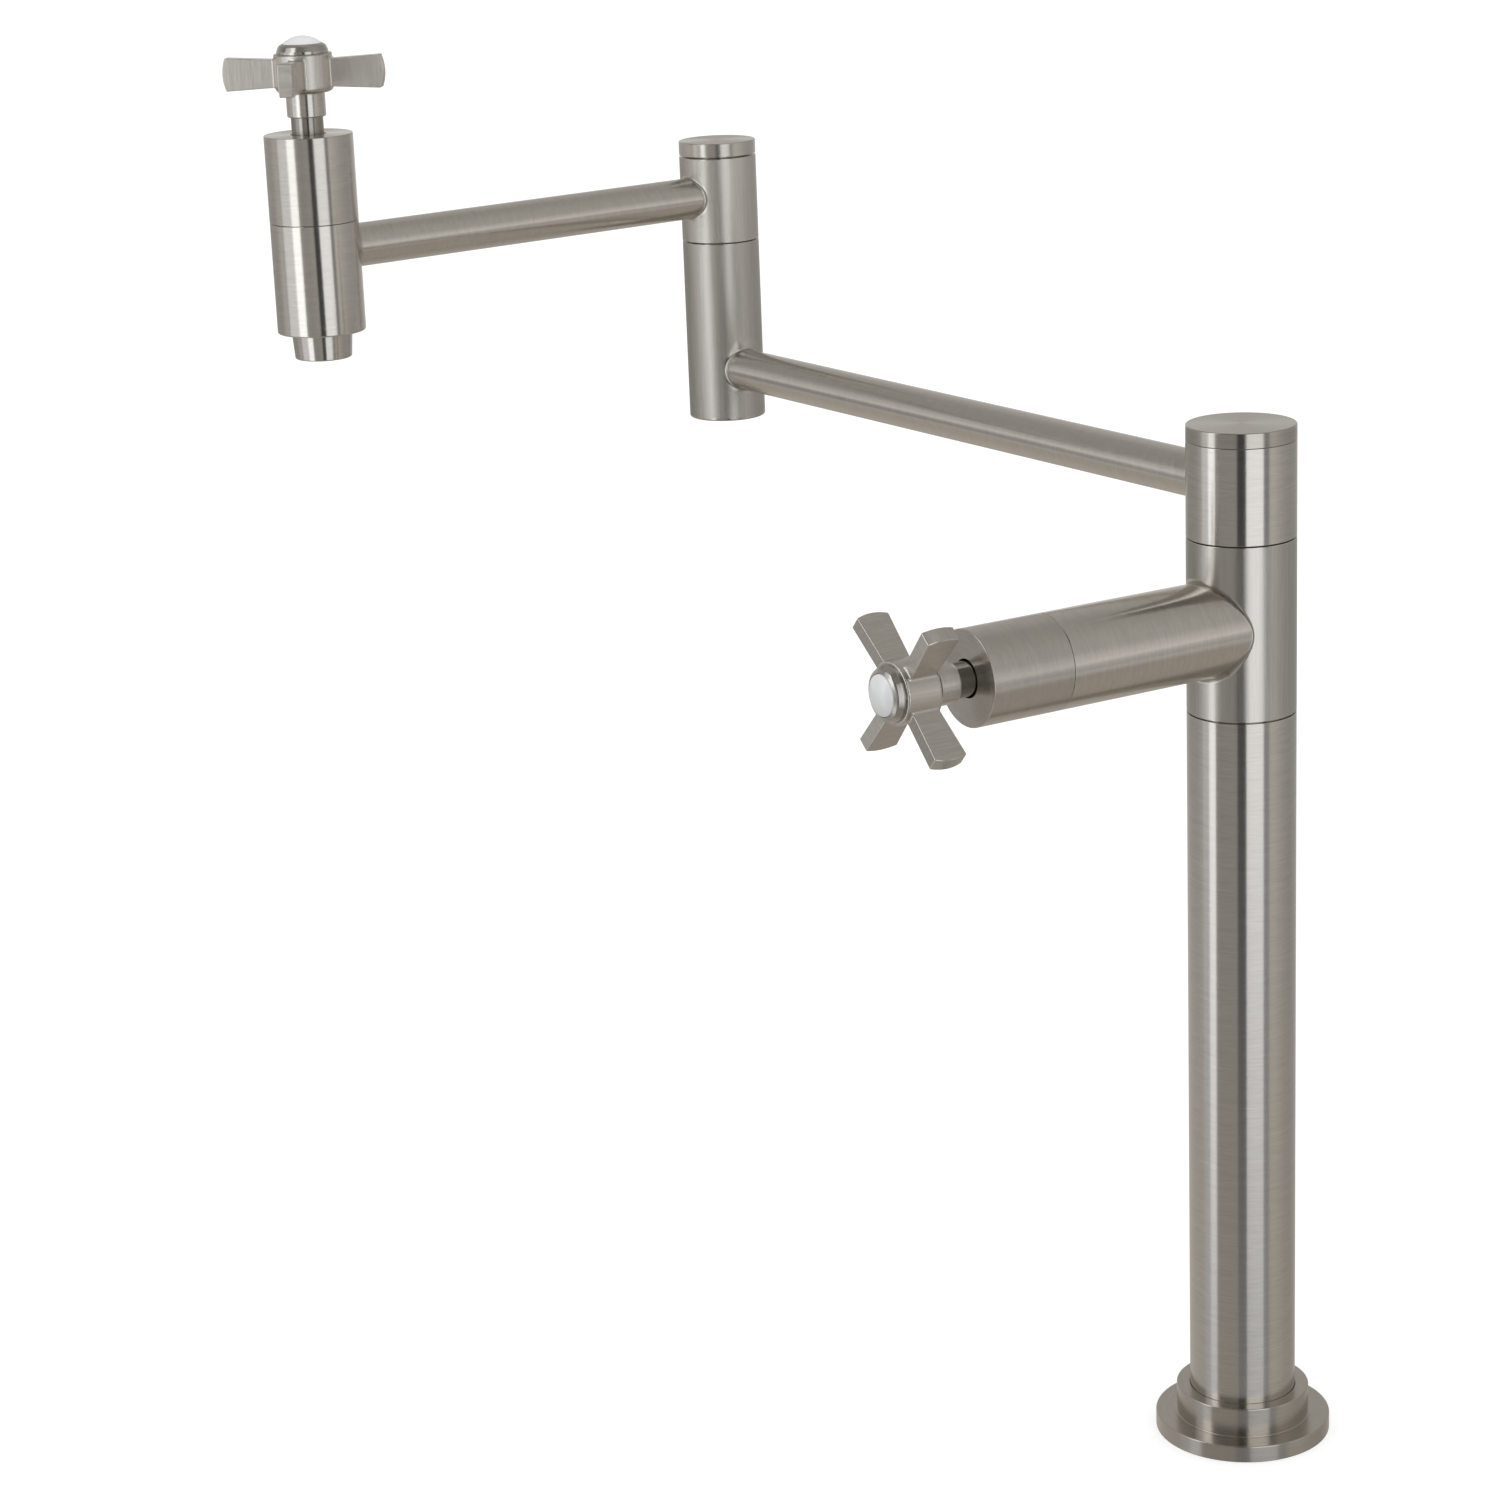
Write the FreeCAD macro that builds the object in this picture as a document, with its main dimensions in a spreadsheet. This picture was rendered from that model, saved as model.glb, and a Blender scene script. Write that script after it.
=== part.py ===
"""Deck-mounted pot filler: a column with a side valve, two swing arms and a spout with its own valve.

Millimetres, +Z up. The origin is on the deck, on the column's axis. The column valve points along -Y.
The arms are modelled as photographed: the lower one to the left, the upper one towards the front.
"""
import FreeCAD
import Part
import Sketcher
import math
import os
import re

doc = FreeCAD.newDocument("PotFiller")

# Driving sizes, in millimetres and degrees.
SIZES = {
    # clearances and small edges
    "fit": 0.05,
    "moving_gap": 0.3,
    "edge_break": 0.4,
    # deck flange, gasket and column foot
    "flange_diameter": 63,
    "flange_height": 6.2,
    "collar_diameter": 47.8,
    "collar_height": 10.9,
    "flange_edge": 0.9,
    "flange_lip": 2,
    "flange_hole": 28,
    "gasket_diameter": 52,
    "gasket_thickness": 1.5,
    "plug_height": 20,
    # shank and clamp under the deck
    "shank_diameter": 26.44,
    "shank_bore": 12,
    "deck_thickness": 30,
    "rubber_washer_thickness": 3,
    "clamp_washer_thickness": 2,
    "clamp_washer_diameter": 50,
    "deck_nut_flats": 36,
    "deck_nut_height": 10,
    "shank_tail": 6,
    "inlet_diameter": 20.955,
    "inlet_length": 16,
    # column and tee body
    "column_diameter": 38,
    "column_wall": 2,
    "column_joint": 273.2,
    "joint_spigot": 14,
    "joint_o_ring_section": 2,
    "column_chamber": 24,
    "tee_height": 61.5,
    "barrel_diameter": 33.4,
    "barrel_rise": 30.7,
    "barrel_reach": 82.8,
    "return_diameter": 5,
    "return_margin": 0.8,
    "passage_web": 3,
    # valve pocket, neck and sleeve, alike on the column and on the spout
    "pocket_diameter": 26,
    "pocket_depth": 22.4,
    "neck_diameter": 30,
    "neck_length": 8,
    "sleeve_length": 32.6,
    "sleeve_end_wall": 4,
    "stem_hole": 13.2,
    "port_diameter": 8,
    # cartridge
    "seal_thickness": 1.5,
    "seal_inner": 11,
    "disc_diameter": 16,
    "disc_thickness": 3,
    "disc_port": 4.6,
    "disc_port_offset": 4.2,
    "disc_notch_angle": 80,
    "disc_notch_offset": 1.8,
    "cage_wall": 2,
    "window_width": 8,
    "stem_flange_height": 2.5,
    "stem_diameter": 12.1,
    "stem_o_ring_section": 1.6,
    "cage_shoulder": 4,
    "cartridge_hex_flats": 24,
    "cartridge_hex_height": 6,
    "spline_diameter": 8,
    "spline_length": 12,
    # cross handle
    "handle_gap": 6.4,
    "stem_engagement": 3,
    "skirt_diameter": 14.6,
    "skirt_length": 9,
    "skirt_chamfer": 0.9,
    "hub_diameter": 21.8,
    "hub_height": 14.4,
    "hub_chamfer": 2.3,
    "hub_recess_diameter": 16.4,
    "hub_recess_depth": 6,
    "handle_span": 61,
    "blade_thickness": 5.4,
    "blade_root_height": 10.5,
    "blade_tip_height": 12.2,
    "blade_tip_bulge": 1.2,
    "blade_root_depth": 1.6,
    "screw_diameter": 4,
    "screw_length": 9,
    "screw_head_diameter": 7,
    "screw_head_height": 2.6,
    "column_handle_angle": 48.7,
    "spout_handle_angle": 52,
    # index ring and button
    "index_ring_diameter": 19.3,
    "index_ring_height": 3.7,
    "index_ring_band": 1.4,
    "index_ring_round": 3.2,
    "index_ring_lip": 0.4,
    "index_ring_spigot": 3,
    "index_ring_bore": 11,
    "button_diameter": 14.4,
    "button_seat_depth": 2.2,
    "button_dome": 2.7,
    # swivels
    "washer_thickness": 1.5,
    "post_depth": 14,
    "post_wall": 3,
    "post_hole": 8,
    "o_ring_section": 1.6,
    "washer_width": 5.5,
    "chamber_gap": 3,
    "chamber_margin": 1,
    "counterbore_depth": 4.2,
    "clip_thickness": 1.2,
    "clip_width": 2.6,
    "clip_groove": 1.2,
    "clip_play": 0.1,
    "cap_spigot_wall": 1.6,
    "head_wall": 3.2,
    "column_swivel_height": 33.9,
    "column_swivel_post": 18,
    "column_cap_height": 5.3,
    "column_cap_gap": 0.1,
    "elbow_swivel_height": 34.2,
    "elbow_swivel_post": 15,
    "elbow_cap_height": 5.4,
    "elbow_cap_gap": 0.7,
    # arms and elbow
    "arm_diameter": 16.4,
    "arm_wall": 1.6,
    "arm_seat": 1,
    "lower_arm_rise": 17.9,
    "lower_arm_length": 321.5,
    "lower_arm_heading": 182.2,
    "upper_arm_rise": 18.1,
    "upper_arm_length": 189.7,
    "upper_arm_heading": 275.9,
    "elbow_diameter": 31,
    "elbow_body_height": 72.6,
    "elbow_drop": 20.7,
    "elbow_edge": 0.8,
    "elbow_bore": 11,
    # spout and nozzle
    "spout_seam_rise": 11.2,
    "spout_body_height": 41.7,
    "nozzle_height": 10,
    "nozzle_root_diameter": 23,
    "nozzle_tip_diameter": 21.5,
    "nozzle_thread_diameter": 20,
    "nozzle_thread_length": 8,
    "aerator_diameter": 17,
    "aerator_lip": 0.8,
    "aerator_lip_height": 1.2,
    "aerator_hole": 1.8,
    "aerator_hole_pitch": 3,
    "aerator_washer_thickness": 2,
    "aerator_washer_bore": 10,
}

# Heights and places worked out from the driving sizes.
LEVELS = {
    "foot_level": "gasket_thickness + flange_lip",
    "clamp_level": "-deck_thickness - rubber_washer_thickness - clamp_washer_thickness",
    "shank_bottom": "clamp_level - deck_nut_height - shank_tail - inlet_length",
    "shank_length": "foot_level + plug_height - shank_bottom",
    "washer_bore": "shank_diameter + 2 * moving_gap",
    "barrel_height": "column_joint + barrel_rise",
    "pocket_floor": "barrel_reach - pocket_depth",
    "column_swivel_seam": "column_joint + tee_height",
    "lower_arm_height": "column_swivel_seam + lower_arm_rise",
    "elbow_bottom": "lower_arm_height - elbow_drop",
    "elbow_swivel_seam": "elbow_bottom + elbow_body_height",
    "upper_arm_height": "elbow_swivel_seam + upper_arm_rise",
    "spout_seam": "upper_arm_height + spout_seam_rise",
    "spout_bottom": "spout_seam - spout_body_height",
    "spout_floor": "spout_seam - pocket_depth",
    "elbow_x": "lower_arm_length * cos(lower_arm_heading * 1deg)",
    "elbow_y": "lower_arm_length * sin(lower_arm_heading * 1deg)",
    "spout_x": "elbow_x + upper_arm_length * cos(upper_arm_heading * 1deg)",
    "spout_y": "elbow_y + upper_arm_length * sin(upper_arm_heading * 1deg)",
    "arm_bore": "arm_diameter - 2 * arm_wall",
    "disc_level": "seal_thickness + disc_thickness",
    "flange_level": "disc_level + disc_thickness",
    "shoulder_level": "flange_level + stem_flange_height",
    "neck_top": "pocket_depth + neck_length",
    "sleeve_end": "pocket_depth + sleeve_length",
    "stem_shoulder": "handle_gap + stem_engagement",
    "hub_bottom": "handle_gap + skirt_length",
    "hub_top": "hub_bottom + hub_height",
}

# Turns that lay a piece's own axis along a direction.
TURNS = {
    "+Z": "rotationz(0)",
    "+X": "rotationy(90)",
    "-X": "rotationy(-90)",
    "-Y": "rotationx(90)",
}

nodes = []


def bind(text):
    """Point every size name in the text at its cell."""
    def cell(match):
        word = match.group()
        if word in SIZES:
            return f"Sizes.{word}"
        if word in LEVELS:
            return f"Levels.{word}"
        return word

    return re.sub(r"[a-z][a-z_]*", cell, text)


def fill_sheet(name, values):
    """Write one named cell per value."""
    sheet = doc.addObject("Spreadsheet::Sheet", name)
    for row, (alias, value) in enumerate(values.items(), 1):
        sheet.set(f"A{row}", alias)
        sheet.set(f"B{row}", value)
        sheet.setAlias(f"B{row}", alias)
    return sheet


sizes = fill_sheet("Sizes", {alias: str(value) for alias, value in SIZES.items()})
fill_sheet("Levels", {alias: "=" + bind(text) for alias, text in LEVELS.items()})
doc.recompute()


def value_of(text):
    """Work out a size expression as a number."""
    return float(sizes.evalExpression(bind(text)))


def at(x, y, z, turn):
    """Give the expression of a placement."""
    return f"placement(vector({x}; {y}; {z}); {turn})"


def on_column(z, turn="rotationz(0)"):
    """Place on the column's axis, at a height."""
    return at("0", "0", z, turn)


def on_barrel(along, turn="rotationz(0)"):
    """Place on the column valve's axis, at a distance from its pocket floor."""
    return at("0", f"-(pocket_floor + {along})", "barrel_height", f"{TURNS['-Y']} * {turn}")


def on_elbow(z, heading):
    """Place on the elbow's axis, facing along one of the two arms."""
    return at("elbow_x", "elbow_y", z, f"rotationz({heading})")


def on_spout(z, turn="rotationz(upper_arm_heading)"):
    """Place on the spout's axis, at a height."""
    return at("spout_x", "spout_y", z, turn)


def on_spout_valve(along, turn="rotationz(0)"):
    """Place on the spout valve's axis, at a distance from its pocket floor."""
    return on_spout(f"spout_floor + {along}", turn)


def finish(piece, label, frame):
    """Name a sub-part and put it in its place."""
    piece.Label = label
    piece.setExpression("Placement", bind(frame))
    nodes.append(piece)


def draw(sketch, corners):
    """Draw a closed outline through the corners, counter-clockwise.

    A corner is (across, up), or (across, up, radius) where the edge that leads to it is an arc
    that bulges out.
    """
    points = [FreeCAD.Vector(value_of(c[0]), value_of(c[1]), 0) for c in corners]
    edges = []
    for i, start in enumerate(points):
        j = (i + 1) % len(points)
        end = points[j]
        if len(corners[j]) == 2:
            edges.append(Part.LineSegment(start, end))
            continue
        radius = value_of(corners[j][2])
        chord = end - start
        inward = FreeCAD.Vector(-chord.y, chord.x, 0).normalize()
        rise = math.sqrt(max(radius ** 2 - chord.Length ** 2 / 4, 0))
        centre = (start + end) * 0.5 + inward * rise
        first = math.atan2(start.y - centre.y, start.x - centre.x)
        last = math.atan2(end.y - centre.y, end.x - centre.x)
        if last < first:
            last += 2 * math.pi
        circle = Part.Circle(centre, FreeCAD.Vector(0, 0, 1), radius)
        edges.append(Part.ArcOfCircle(circle, first, last))
    sketch.addGeometry(edges, False)
    for i, point in enumerate(points):
        sketch.addConstraint(Sketcher.Constraint("Coincident", i, 2, (i + 1) % len(points), 1))
        across = sketch.addConstraint(Sketcher.Constraint("DistanceX", -1, 1, i, 1, point.x))
        sketch.setExpression(f"Constraints[{across}]", bind(corners[i][0]))
        up = sketch.addConstraint(Sketcher.Constraint("DistanceY", -1, 1, i, 1, point.y))
        sketch.setExpression(f"Constraints[{up}]", bind(corners[i][1]))
        if len(corners[i]) == 3:
            edge = (i - 1) % len(points)
            radius = sketch.addConstraint(Sketcher.Constraint("Radius", edge, value_of(corners[i][2])))
            sketch.setExpression(f"Constraints[{radius}]", bind(corners[i][2]))


def sketch_on(body, role, corners):
    """Draw an outline on one of the body's own planes."""
    sketch = body.newObject("Sketcher::SketchObject", "Outline")
    plane = next(f for f in body.Origin.OriginFeatures if f.Role == role)
    sketch.AttachmentSupport = [(plane, "")]
    sketch.MapMode = "FlatFace"
    draw(sketch, corners)
    return sketch


def turned(name, corners):
    """Make a turned piece about its own Z axis from (radius, height) corners."""
    body = doc.addObject("PartDesign::Body", name)
    spin = body.newObject("PartDesign::Revolution", "Turning")
    spin.Profile = sketch_on(body, "XZ_Plane", corners)
    spin.ReferenceAxis = (spin.Profile[0], ["V_Axis"])
    spin.Angle = 360
    return body


def ring(name, inner, outer, height):
    """Make a plain ring, washer or tube."""
    return turned(name, [(inner, "0"), (outer, "0"), (outer, height), (inner, height)])


def rod(radius, length, x="0", y="0", z="0", along="+Z", angle=None):
    """Make a cylinder or a sector of one, along a direction."""
    piece = doc.addObject("Part::Cylinder", "Rod")
    piece.setExpression("Radius", bind(radius))
    piece.setExpression("Height", bind(length))
    if angle:
        piece.setExpression("Angle", bind(angle))
    piece.setExpression("Placement", bind(at(x, y, z, TURNS.get(along, along))))
    return piece


def hexagon(flats, height, z="0"):
    """Make a hexagonal prism of a size across its flats."""
    piece = doc.addObject("Part::Prism", "Hexagon")
    piece.Polygon = 6
    piece.setExpression("Circumradius", bind(f"{flats} / 2 / cos(30deg)"))
    piece.setExpression("Height", bind(height))
    piece.setExpression("Placement", bind(on_column(z)))
    return piece


def torus(radius, section, z):
    """Make one O-ring, from the radius of its outside and its section's diameter."""
    piece = doc.addObject("Part::Torus", "ORing")
    piece.setExpression("Radius1", bind(f"{radius} - {section} / 2"))
    piece.setExpression("Radius2", bind(f"{section} / 2"))
    piece.setExpression("Placement", bind(on_column(z)))
    return piece


def joined(pieces):
    """Join pieces into one."""
    whole = doc.addObject("Part::MultiFuse", "Joined")
    whole.Shapes = pieces
    return whole


def cut(base, tools):
    """Cut tools away from a piece."""
    piece = doc.addObject("Part::Cut", "Cut")
    piece.Base = base
    piece.Tool = tools[0] if len(tools) == 1 else joined(tools)
    return piece


def arm_seat(end, surface, height, side):
    """Give the tools that bore a seat for an arm's end into a body, and the waterway behind it."""
    sign = "-" if side == "-X" else ""
    seat = rod("arm_diameter / 2 + fit", f"{surface} - ({end})", x=f"{sign}({end})", z=height, along=side)
    waterway = rod("arm_bore / 2", f"{end} + fit", z=height, along=side)
    return [seat, waterway]


# Deck flange: a turned escutcheon with a collar round the column's foot and a lip that the column stands on.
finish(
    turned("Flange", [
        ("flange_hole / 2", "gasket_thickness"),
        ("gasket_diameter / 2", "gasket_thickness"),
        ("gasket_diameter / 2", "0"),
        ("flange_diameter / 2 - edge_break", "0"),
        ("flange_diameter / 2", "edge_break"),
        ("flange_diameter / 2", "flange_height - flange_edge"),
        ("flange_diameter / 2 - flange_edge", "flange_height", "flange_edge"),
        ("collar_diameter / 2", "flange_height"),
        ("collar_diameter / 2", "flange_height + collar_height - flange_edge"),
        ("collar_diameter / 2 - flange_edge", "flange_height + collar_height", "flange_edge"),
        ("column_diameter / 2 + fit", "flange_height + collar_height"),
        ("column_diameter / 2 + fit", "foot_level"),
        ("flange_hole / 2", "foot_level"),
    ]),
    "deck_flange",
    on_column("0"),
)

# Gasket: a flat rubber ring let into the flange's underside.
finish(
    ring("Gasket", "flange_hole / 2", "gasket_diameter / 2 - fit", "gasket_thickness"),
    "deck_gasket",
    on_column("0"),
)

# Threaded shank: a hollow stud through the deck, with the supply's thread at its lower end.
finish(
    turned("Shank", [
        ("shank_bore / 2", "0"),
        ("inlet_diameter / 2", "0"),
        ("inlet_diameter / 2", "inlet_length"),
        ("shank_diameter / 2", "inlet_length"),
        ("shank_diameter / 2", "shank_length"),
        ("shank_bore / 2", "shank_length"),
    ]),
    "threaded_shank",
    on_column("shank_bottom"),
)

# Clamp under the deck: a rubber washer, a steel washer and a hexagonal nut on the shank.
finish(
    ring("RubberWasher", "washer_bore / 2", "clamp_washer_diameter / 2", "rubber_washer_thickness"),
    "deck_rubber_washer",
    on_column("-deck_thickness - rubber_washer_thickness"),
)
finish(
    ring("ClampWasher", "washer_bore / 2", "clamp_washer_diameter / 2", "clamp_washer_thickness"),
    "deck_clamp_washer",
    on_column("clamp_level"),
)
finish(
    cut(hexagon("deck_nut_flats", "deck_nut_height"), [rod("shank_diameter / 2 + fit", "deck_nut_height")]),
    "deck_nut",
    on_column("clamp_level - deck_nut_height"),
)

# Column: a tube that stands on the flange's lip, with a plug brazed into its foot for the shank.
finish(
    ring("BasePlug", "shank_diameter / 2 + fit", "column_diameter / 2 - column_wall - fit", "plug_height"),
    "column_base_plug",
    on_column("foot_level"),
)
finish(
    ring("Column", "column_diameter / 2 - column_wall", "column_diameter / 2", "column_joint - foot_level"),
    "column_tube",
    on_column("foot_level"),
)

# Tee body: a spigot in the column's top, the tee itself and the side barrel that holds the column valve.
# A lower chamber feeds the valve's port, and a drilled passage leads back to the upper chamber and the post.
SPIGOT = "column_diameter / 2 - column_wall - fit"
GROOVE = f"{SPIGOT} - joint_o_ring_section"
tee = turned("Tee", [
    ("0", "0"),
    (SPIGOT, "0"),
    (SPIGOT, "joint_spigot / 2 - joint_o_ring_section / 2 - fit"),
    (f"{GROOVE} - fit", "joint_spigot / 2 - joint_o_ring_section / 2 - fit"),
    (f"{GROOVE} - fit", "joint_spigot / 2 + joint_o_ring_section / 2 + fit"),
    (SPIGOT, "joint_spigot / 2 + joint_o_ring_section / 2 + fit"),
    (SPIGOT, "joint_spigot"),
    ("column_diameter / 2", "joint_spigot"),
    ("column_diameter / 2", "joint_spigot + tee_height"),
    ("0", "joint_spigot + tee_height"),
])
BARREL_AXIS = "joint_spigot + barrel_rise"
RETURN_AXIS = f"{BARREL_AXIS} + pocket_diameter / 2 - return_diameter / 2 - return_margin"
UPPER_FLOOR = f"{BARREL_AXIS} + port_diameter / 2 + passage_web"
UPPER_DEPTH = f"joint_spigot + tee_height - ({UPPER_FLOOR})"
finish(
    cut(
        joined([
            tee,
            rod("barrel_diameter / 2", "barrel_reach", z=BARREL_AXIS, along="-Y"),
            rod("neck_diameter / 2", "barrel_reach + neck_length", z=BARREL_AXIS, along="-Y"),
        ]),
        [
            rod("column_chamber / 2", BARREL_AXIS),
            rod("port_diameter / 2", "pocket_floor + fit", z=BARREL_AXIS, along="-Y"),
            rod("return_diameter / 2", "pocket_floor + fit", z=RETURN_AXIS, along="-Y"),
            rod("pocket_diameter / 2", "neck_top", y="-pocket_floor", z=BARREL_AXIS, along="-Y"),
            rod("column_swivel_post / 2 - post_wall", UPPER_DEPTH, z=UPPER_FLOOR),
            rod("column_swivel_post / 2 + fit", "post_depth", z="joint_spigot + tee_height - post_depth"),
        ],
    ),
    "valve_body",
    on_column("column_joint - joint_spigot"),
)
finish(
    torus(f"({SPIGOT})", "joint_o_ring_section", "0"),
    "column_joint_o_ring",
    on_column("column_joint - joint_spigot / 2"),
)


def valve(name, frame, handle_turn):
    """Make one quarter-turn valve: cartridge, sleeve, stem and cross handle, along its own axis."""
    # Seat seal: a flat rubber ring between the pocket's floor and the fixed disc.
    finish(
        ring("Seal", "seal_inner / 2", "disc_diameter / 2", "seal_thickness"),
        f"{name}_seat_seal",
        frame("0"),
    )

    # Fixed disc: a ceramic disc with two ports.
    ports = [
        rod("disc_port / 2", "disc_thickness", x=f"{side}disc_port_offset")
        for side in ("", "-")
    ]
    finish(
        cut(rod("disc_diameter / 2", "disc_thickness"), ports),
        f"{name}_fixed_disc",
        frame("seal_thickness"),
    )

    # Moving disc: a ceramic disc with two notches, a quarter turn from the ports while the valve is shut.
    notches = [
        rod(
            "disc_diameter",
            "disc_thickness",
            y=f"{side}disc_notch_offset",
            along=f"rotationz({middle} - disc_notch_angle / 2)",
            angle="disc_notch_angle",
        )
        for side, middle in (("", "90"), ("-", "270"))
    ]
    finish(
        cut(rod("disc_diameter / 2", "disc_thickness"), notches),
        f"{name}_moving_disc",
        frame("disc_level"),
    )

    # Cartridge body: a cage round the discs, a threaded shank in the pocket and a hexagon above the neck.
    cage = "disc_diameter / 2 + 2 * fit"
    bore = "stem_diameter / 2 + fit"
    barrel = turned("Cartridge", [
        (cage, "0"),
        (f"{cage} + cage_wall", "0"),
        (f"{cage} + cage_wall", "shoulder_level + cage_shoulder"),
        ("pocket_diameter / 2 - fit", "shoulder_level + cage_shoulder"),
        ("pocket_diameter / 2 - fit", "neck_top"),
        (bore, "neck_top"),
        (bore, "shoulder_level + fit"),
        (cage, "shoulder_level + fit"),
    ])
    head = cut(
        hexagon("cartridge_hex_flats", "cartridge_hex_height", "neck_top"),
        [rod(bore, "cartridge_hex_height", z="neck_top")],
    )
    window = doc.addObject("Part::Box", "Window")
    window.setExpression("Length", bind("pocket_diameter"))
    window.setExpression("Width", bind("window_width"))
    window.setExpression("Height", bind("disc_thickness"))
    window.setExpression(
        "Placement", bind(at("-pocket_diameter / 2", "-window_width / 2", "disc_level", TURNS["+Z"]))
    )
    finish(
        cut(joined([barrel, head]), [window]),
        f"{name}_cartridge_body",
        frame("0"),
    )

    # Sleeve: a turned cover over the cartridge, screwed on the neck, with a hole for the stem.
    finish(
        turned("Sleeve", [
            ("neck_diameter / 2 + fit", "0"),
            ("barrel_diameter / 2", "0"),
            ("barrel_diameter / 2", "sleeve_length - edge_break"),
            ("barrel_diameter / 2 - edge_break", "sleeve_length"),
            ("stem_hole / 2", "sleeve_length"),
            ("stem_hole / 2", "sleeve_length - sleeve_end_wall"),
            ("neck_diameter / 2 + fit", "sleeve_length - sleeve_end_wall"),
        ]),
        f"{name}_sleeve",
        frame("pocket_depth"),
    )

    # Stem: a flange on the moving disc, a shaft through the cartridge and a spline in the handle.
    o_ring_level = "neck_top / 2 + shoulder_level / 2"
    groove = "stem_diameter / 2 - stem_o_ring_section - fit"
    groove_low = f"{o_ring_level} - stem_o_ring_section / 2 - fit"
    groove_high = f"{o_ring_level} + stem_o_ring_section / 2 + fit"
    spline_top = "sleeve_end + stem_shoulder + spline_length"
    finish(
        turned("Stem", [
            ("0", "flange_level"),
            ("disc_diameter / 2 - fit", "flange_level"),
            ("disc_diameter / 2 - fit", "shoulder_level"),
            ("stem_diameter / 2", "shoulder_level"),
            ("stem_diameter / 2", groove_low),
            (groove, groove_low),
            (groove, groove_high),
            ("stem_diameter / 2", groove_high),
            ("stem_diameter / 2", "sleeve_end + stem_shoulder"),
            ("spline_diameter / 2", "sleeve_end + stem_shoulder"),
            ("spline_diameter / 2", spline_top),
            ("screw_diameter / 2 + fit", spline_top),
            ("screw_diameter / 2 + fit", f"{spline_top} - screw_length"),
            ("0", f"{spline_top} - screw_length"),
        ]),
        f"{name}_stem",
        frame("0", handle_turn),
    )
    finish(
        torus("(stem_diameter / 2)", "stem_o_ring_section", "0"),
        f"{name}_stem_o_ring",
        frame(o_ring_level, handle_turn),
    )

    # Cross handle: a hub with a skirt, and four blades that flare towards convex tips.
    recess_floor = "hub_top - hub_recess_depth"
    spline_roof = "stem_shoulder + spline_length + fit"
    handle = turned("Handle", [
        (bore, "handle_gap"),
        ("skirt_diameter / 2 - skirt_chamfer", "handle_gap"),
        ("skirt_diameter / 2", "handle_gap + skirt_chamfer"),
        ("skirt_diameter / 2", "hub_bottom"),
        ("hub_diameter / 2 - hub_chamfer", "hub_bottom"),
        ("hub_diameter / 2", "hub_bottom + hub_chamfer"),
        ("hub_diameter / 2", "hub_top - flange_edge"),
        ("hub_diameter / 2 - flange_edge", "hub_top", "flange_edge"),
        ("hub_recess_diameter / 2", "hub_top"),
        ("hub_recess_diameter / 2", recess_floor),
        ("screw_diameter / 2 + fit", recess_floor),
        ("screw_diameter / 2 + fit", spline_roof),
        ("spline_diameter / 2 + fit", spline_roof),
        ("spline_diameter / 2 + fit", "stem_shoulder"),
        (bore, "stem_shoulder"),
    ])
    middle = "(hub_bottom + hub_top) / 2"
    root = "hub_diameter / 2 - blade_root_depth"
    tip = "handle_span / 2 - blade_tip_bulge"
    tip_radius = "(blade_tip_height ^ 2 / 4 + blade_tip_bulge ^ 2) / (2 * blade_tip_bulge)"
    blade = handle.newObject("PartDesign::Pad", "Blade")
    blade.Profile = sketch_on(handle, "XZ_Plane", [
        (root, f"{middle} - blade_root_height / 2"),
        (tip, f"{middle} - blade_tip_height / 2"),
        (tip, f"{middle} + blade_tip_height / 2", tip_radius),
        (root, f"{middle} + blade_root_height / 2"),
    ])
    blade.SideType = "Symmetric"
    blade.setExpression("Length", bind("blade_thickness"))
    cross = handle.newObject("PartDesign::PolarPattern", "Cross")
    cross.Originals = [blade]
    cross.Axis = (next(f for f in handle.Origin.OriginFeatures if f.Role == "Z_Axis"), [""])
    cross.Angle = 360
    cross.Occurrences = 4
    handle.Tip = cross
    finish(handle, f"{name}_cross_handle", frame("sleeve_end", handle_turn))

    # Handle screw: a pan-head screw through the hub into the stem.
    finish(
        turned("Screw", [
            ("0", "0"),
            ("screw_diameter / 2", "0"),
            ("screw_diameter / 2", "screw_length"),
            ("screw_head_diameter / 2", "screw_length"),
            ("screw_head_diameter / 2", "screw_length + screw_head_height"),
            ("0", "screw_length + screw_head_height"),
        ]),
        f"{name}_handle_screw",
        frame(f"sleeve_end + {recess_floor} - screw_length", handle_turn),
    )

    # Index ring: a polished ring screwed into the hub, which holds the button.
    ring_top = "index_ring_spigot + index_ring_height"
    seat = f"{ring_top} - button_seat_depth"
    finish(
        turned("IndexRing", [
            ("index_ring_bore / 2", "0"),
            ("hub_recess_diameter / 2 - fit", "0"),
            ("hub_recess_diameter / 2 - fit", "index_ring_spigot"),
            ("index_ring_diameter / 2", "index_ring_spigot"),
            ("index_ring_diameter / 2", "index_ring_spigot + index_ring_band"),
            ("button_diameter / 2 + fit + index_ring_lip", ring_top, "index_ring_round"),
            ("button_diameter / 2 + fit", ring_top),
            ("button_diameter / 2 + fit", seat),
            ("index_ring_bore / 2", seat),
        ]),
        f"{name}_index_ring",
        frame("sleeve_end + hub_top - index_ring_spigot", handle_turn),
    )

    # Index button: a domed porcelain disc.
    dome = "(button_diameter ^ 2 / 4 + button_dome ^ 2) / (2 * button_dome)"
    finish(
        turned("Button", [
            ("0", "0"),
            ("button_diameter / 2", "0"),
            ("button_diameter / 2", "button_seat_depth"),
            ("0", "button_seat_depth + button_dome", dome),
        ]),
        f"{name}_index_button",
        frame("sleeve_end + hub_top + index_ring_height - button_seat_depth", handle_turn),
    )


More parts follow.
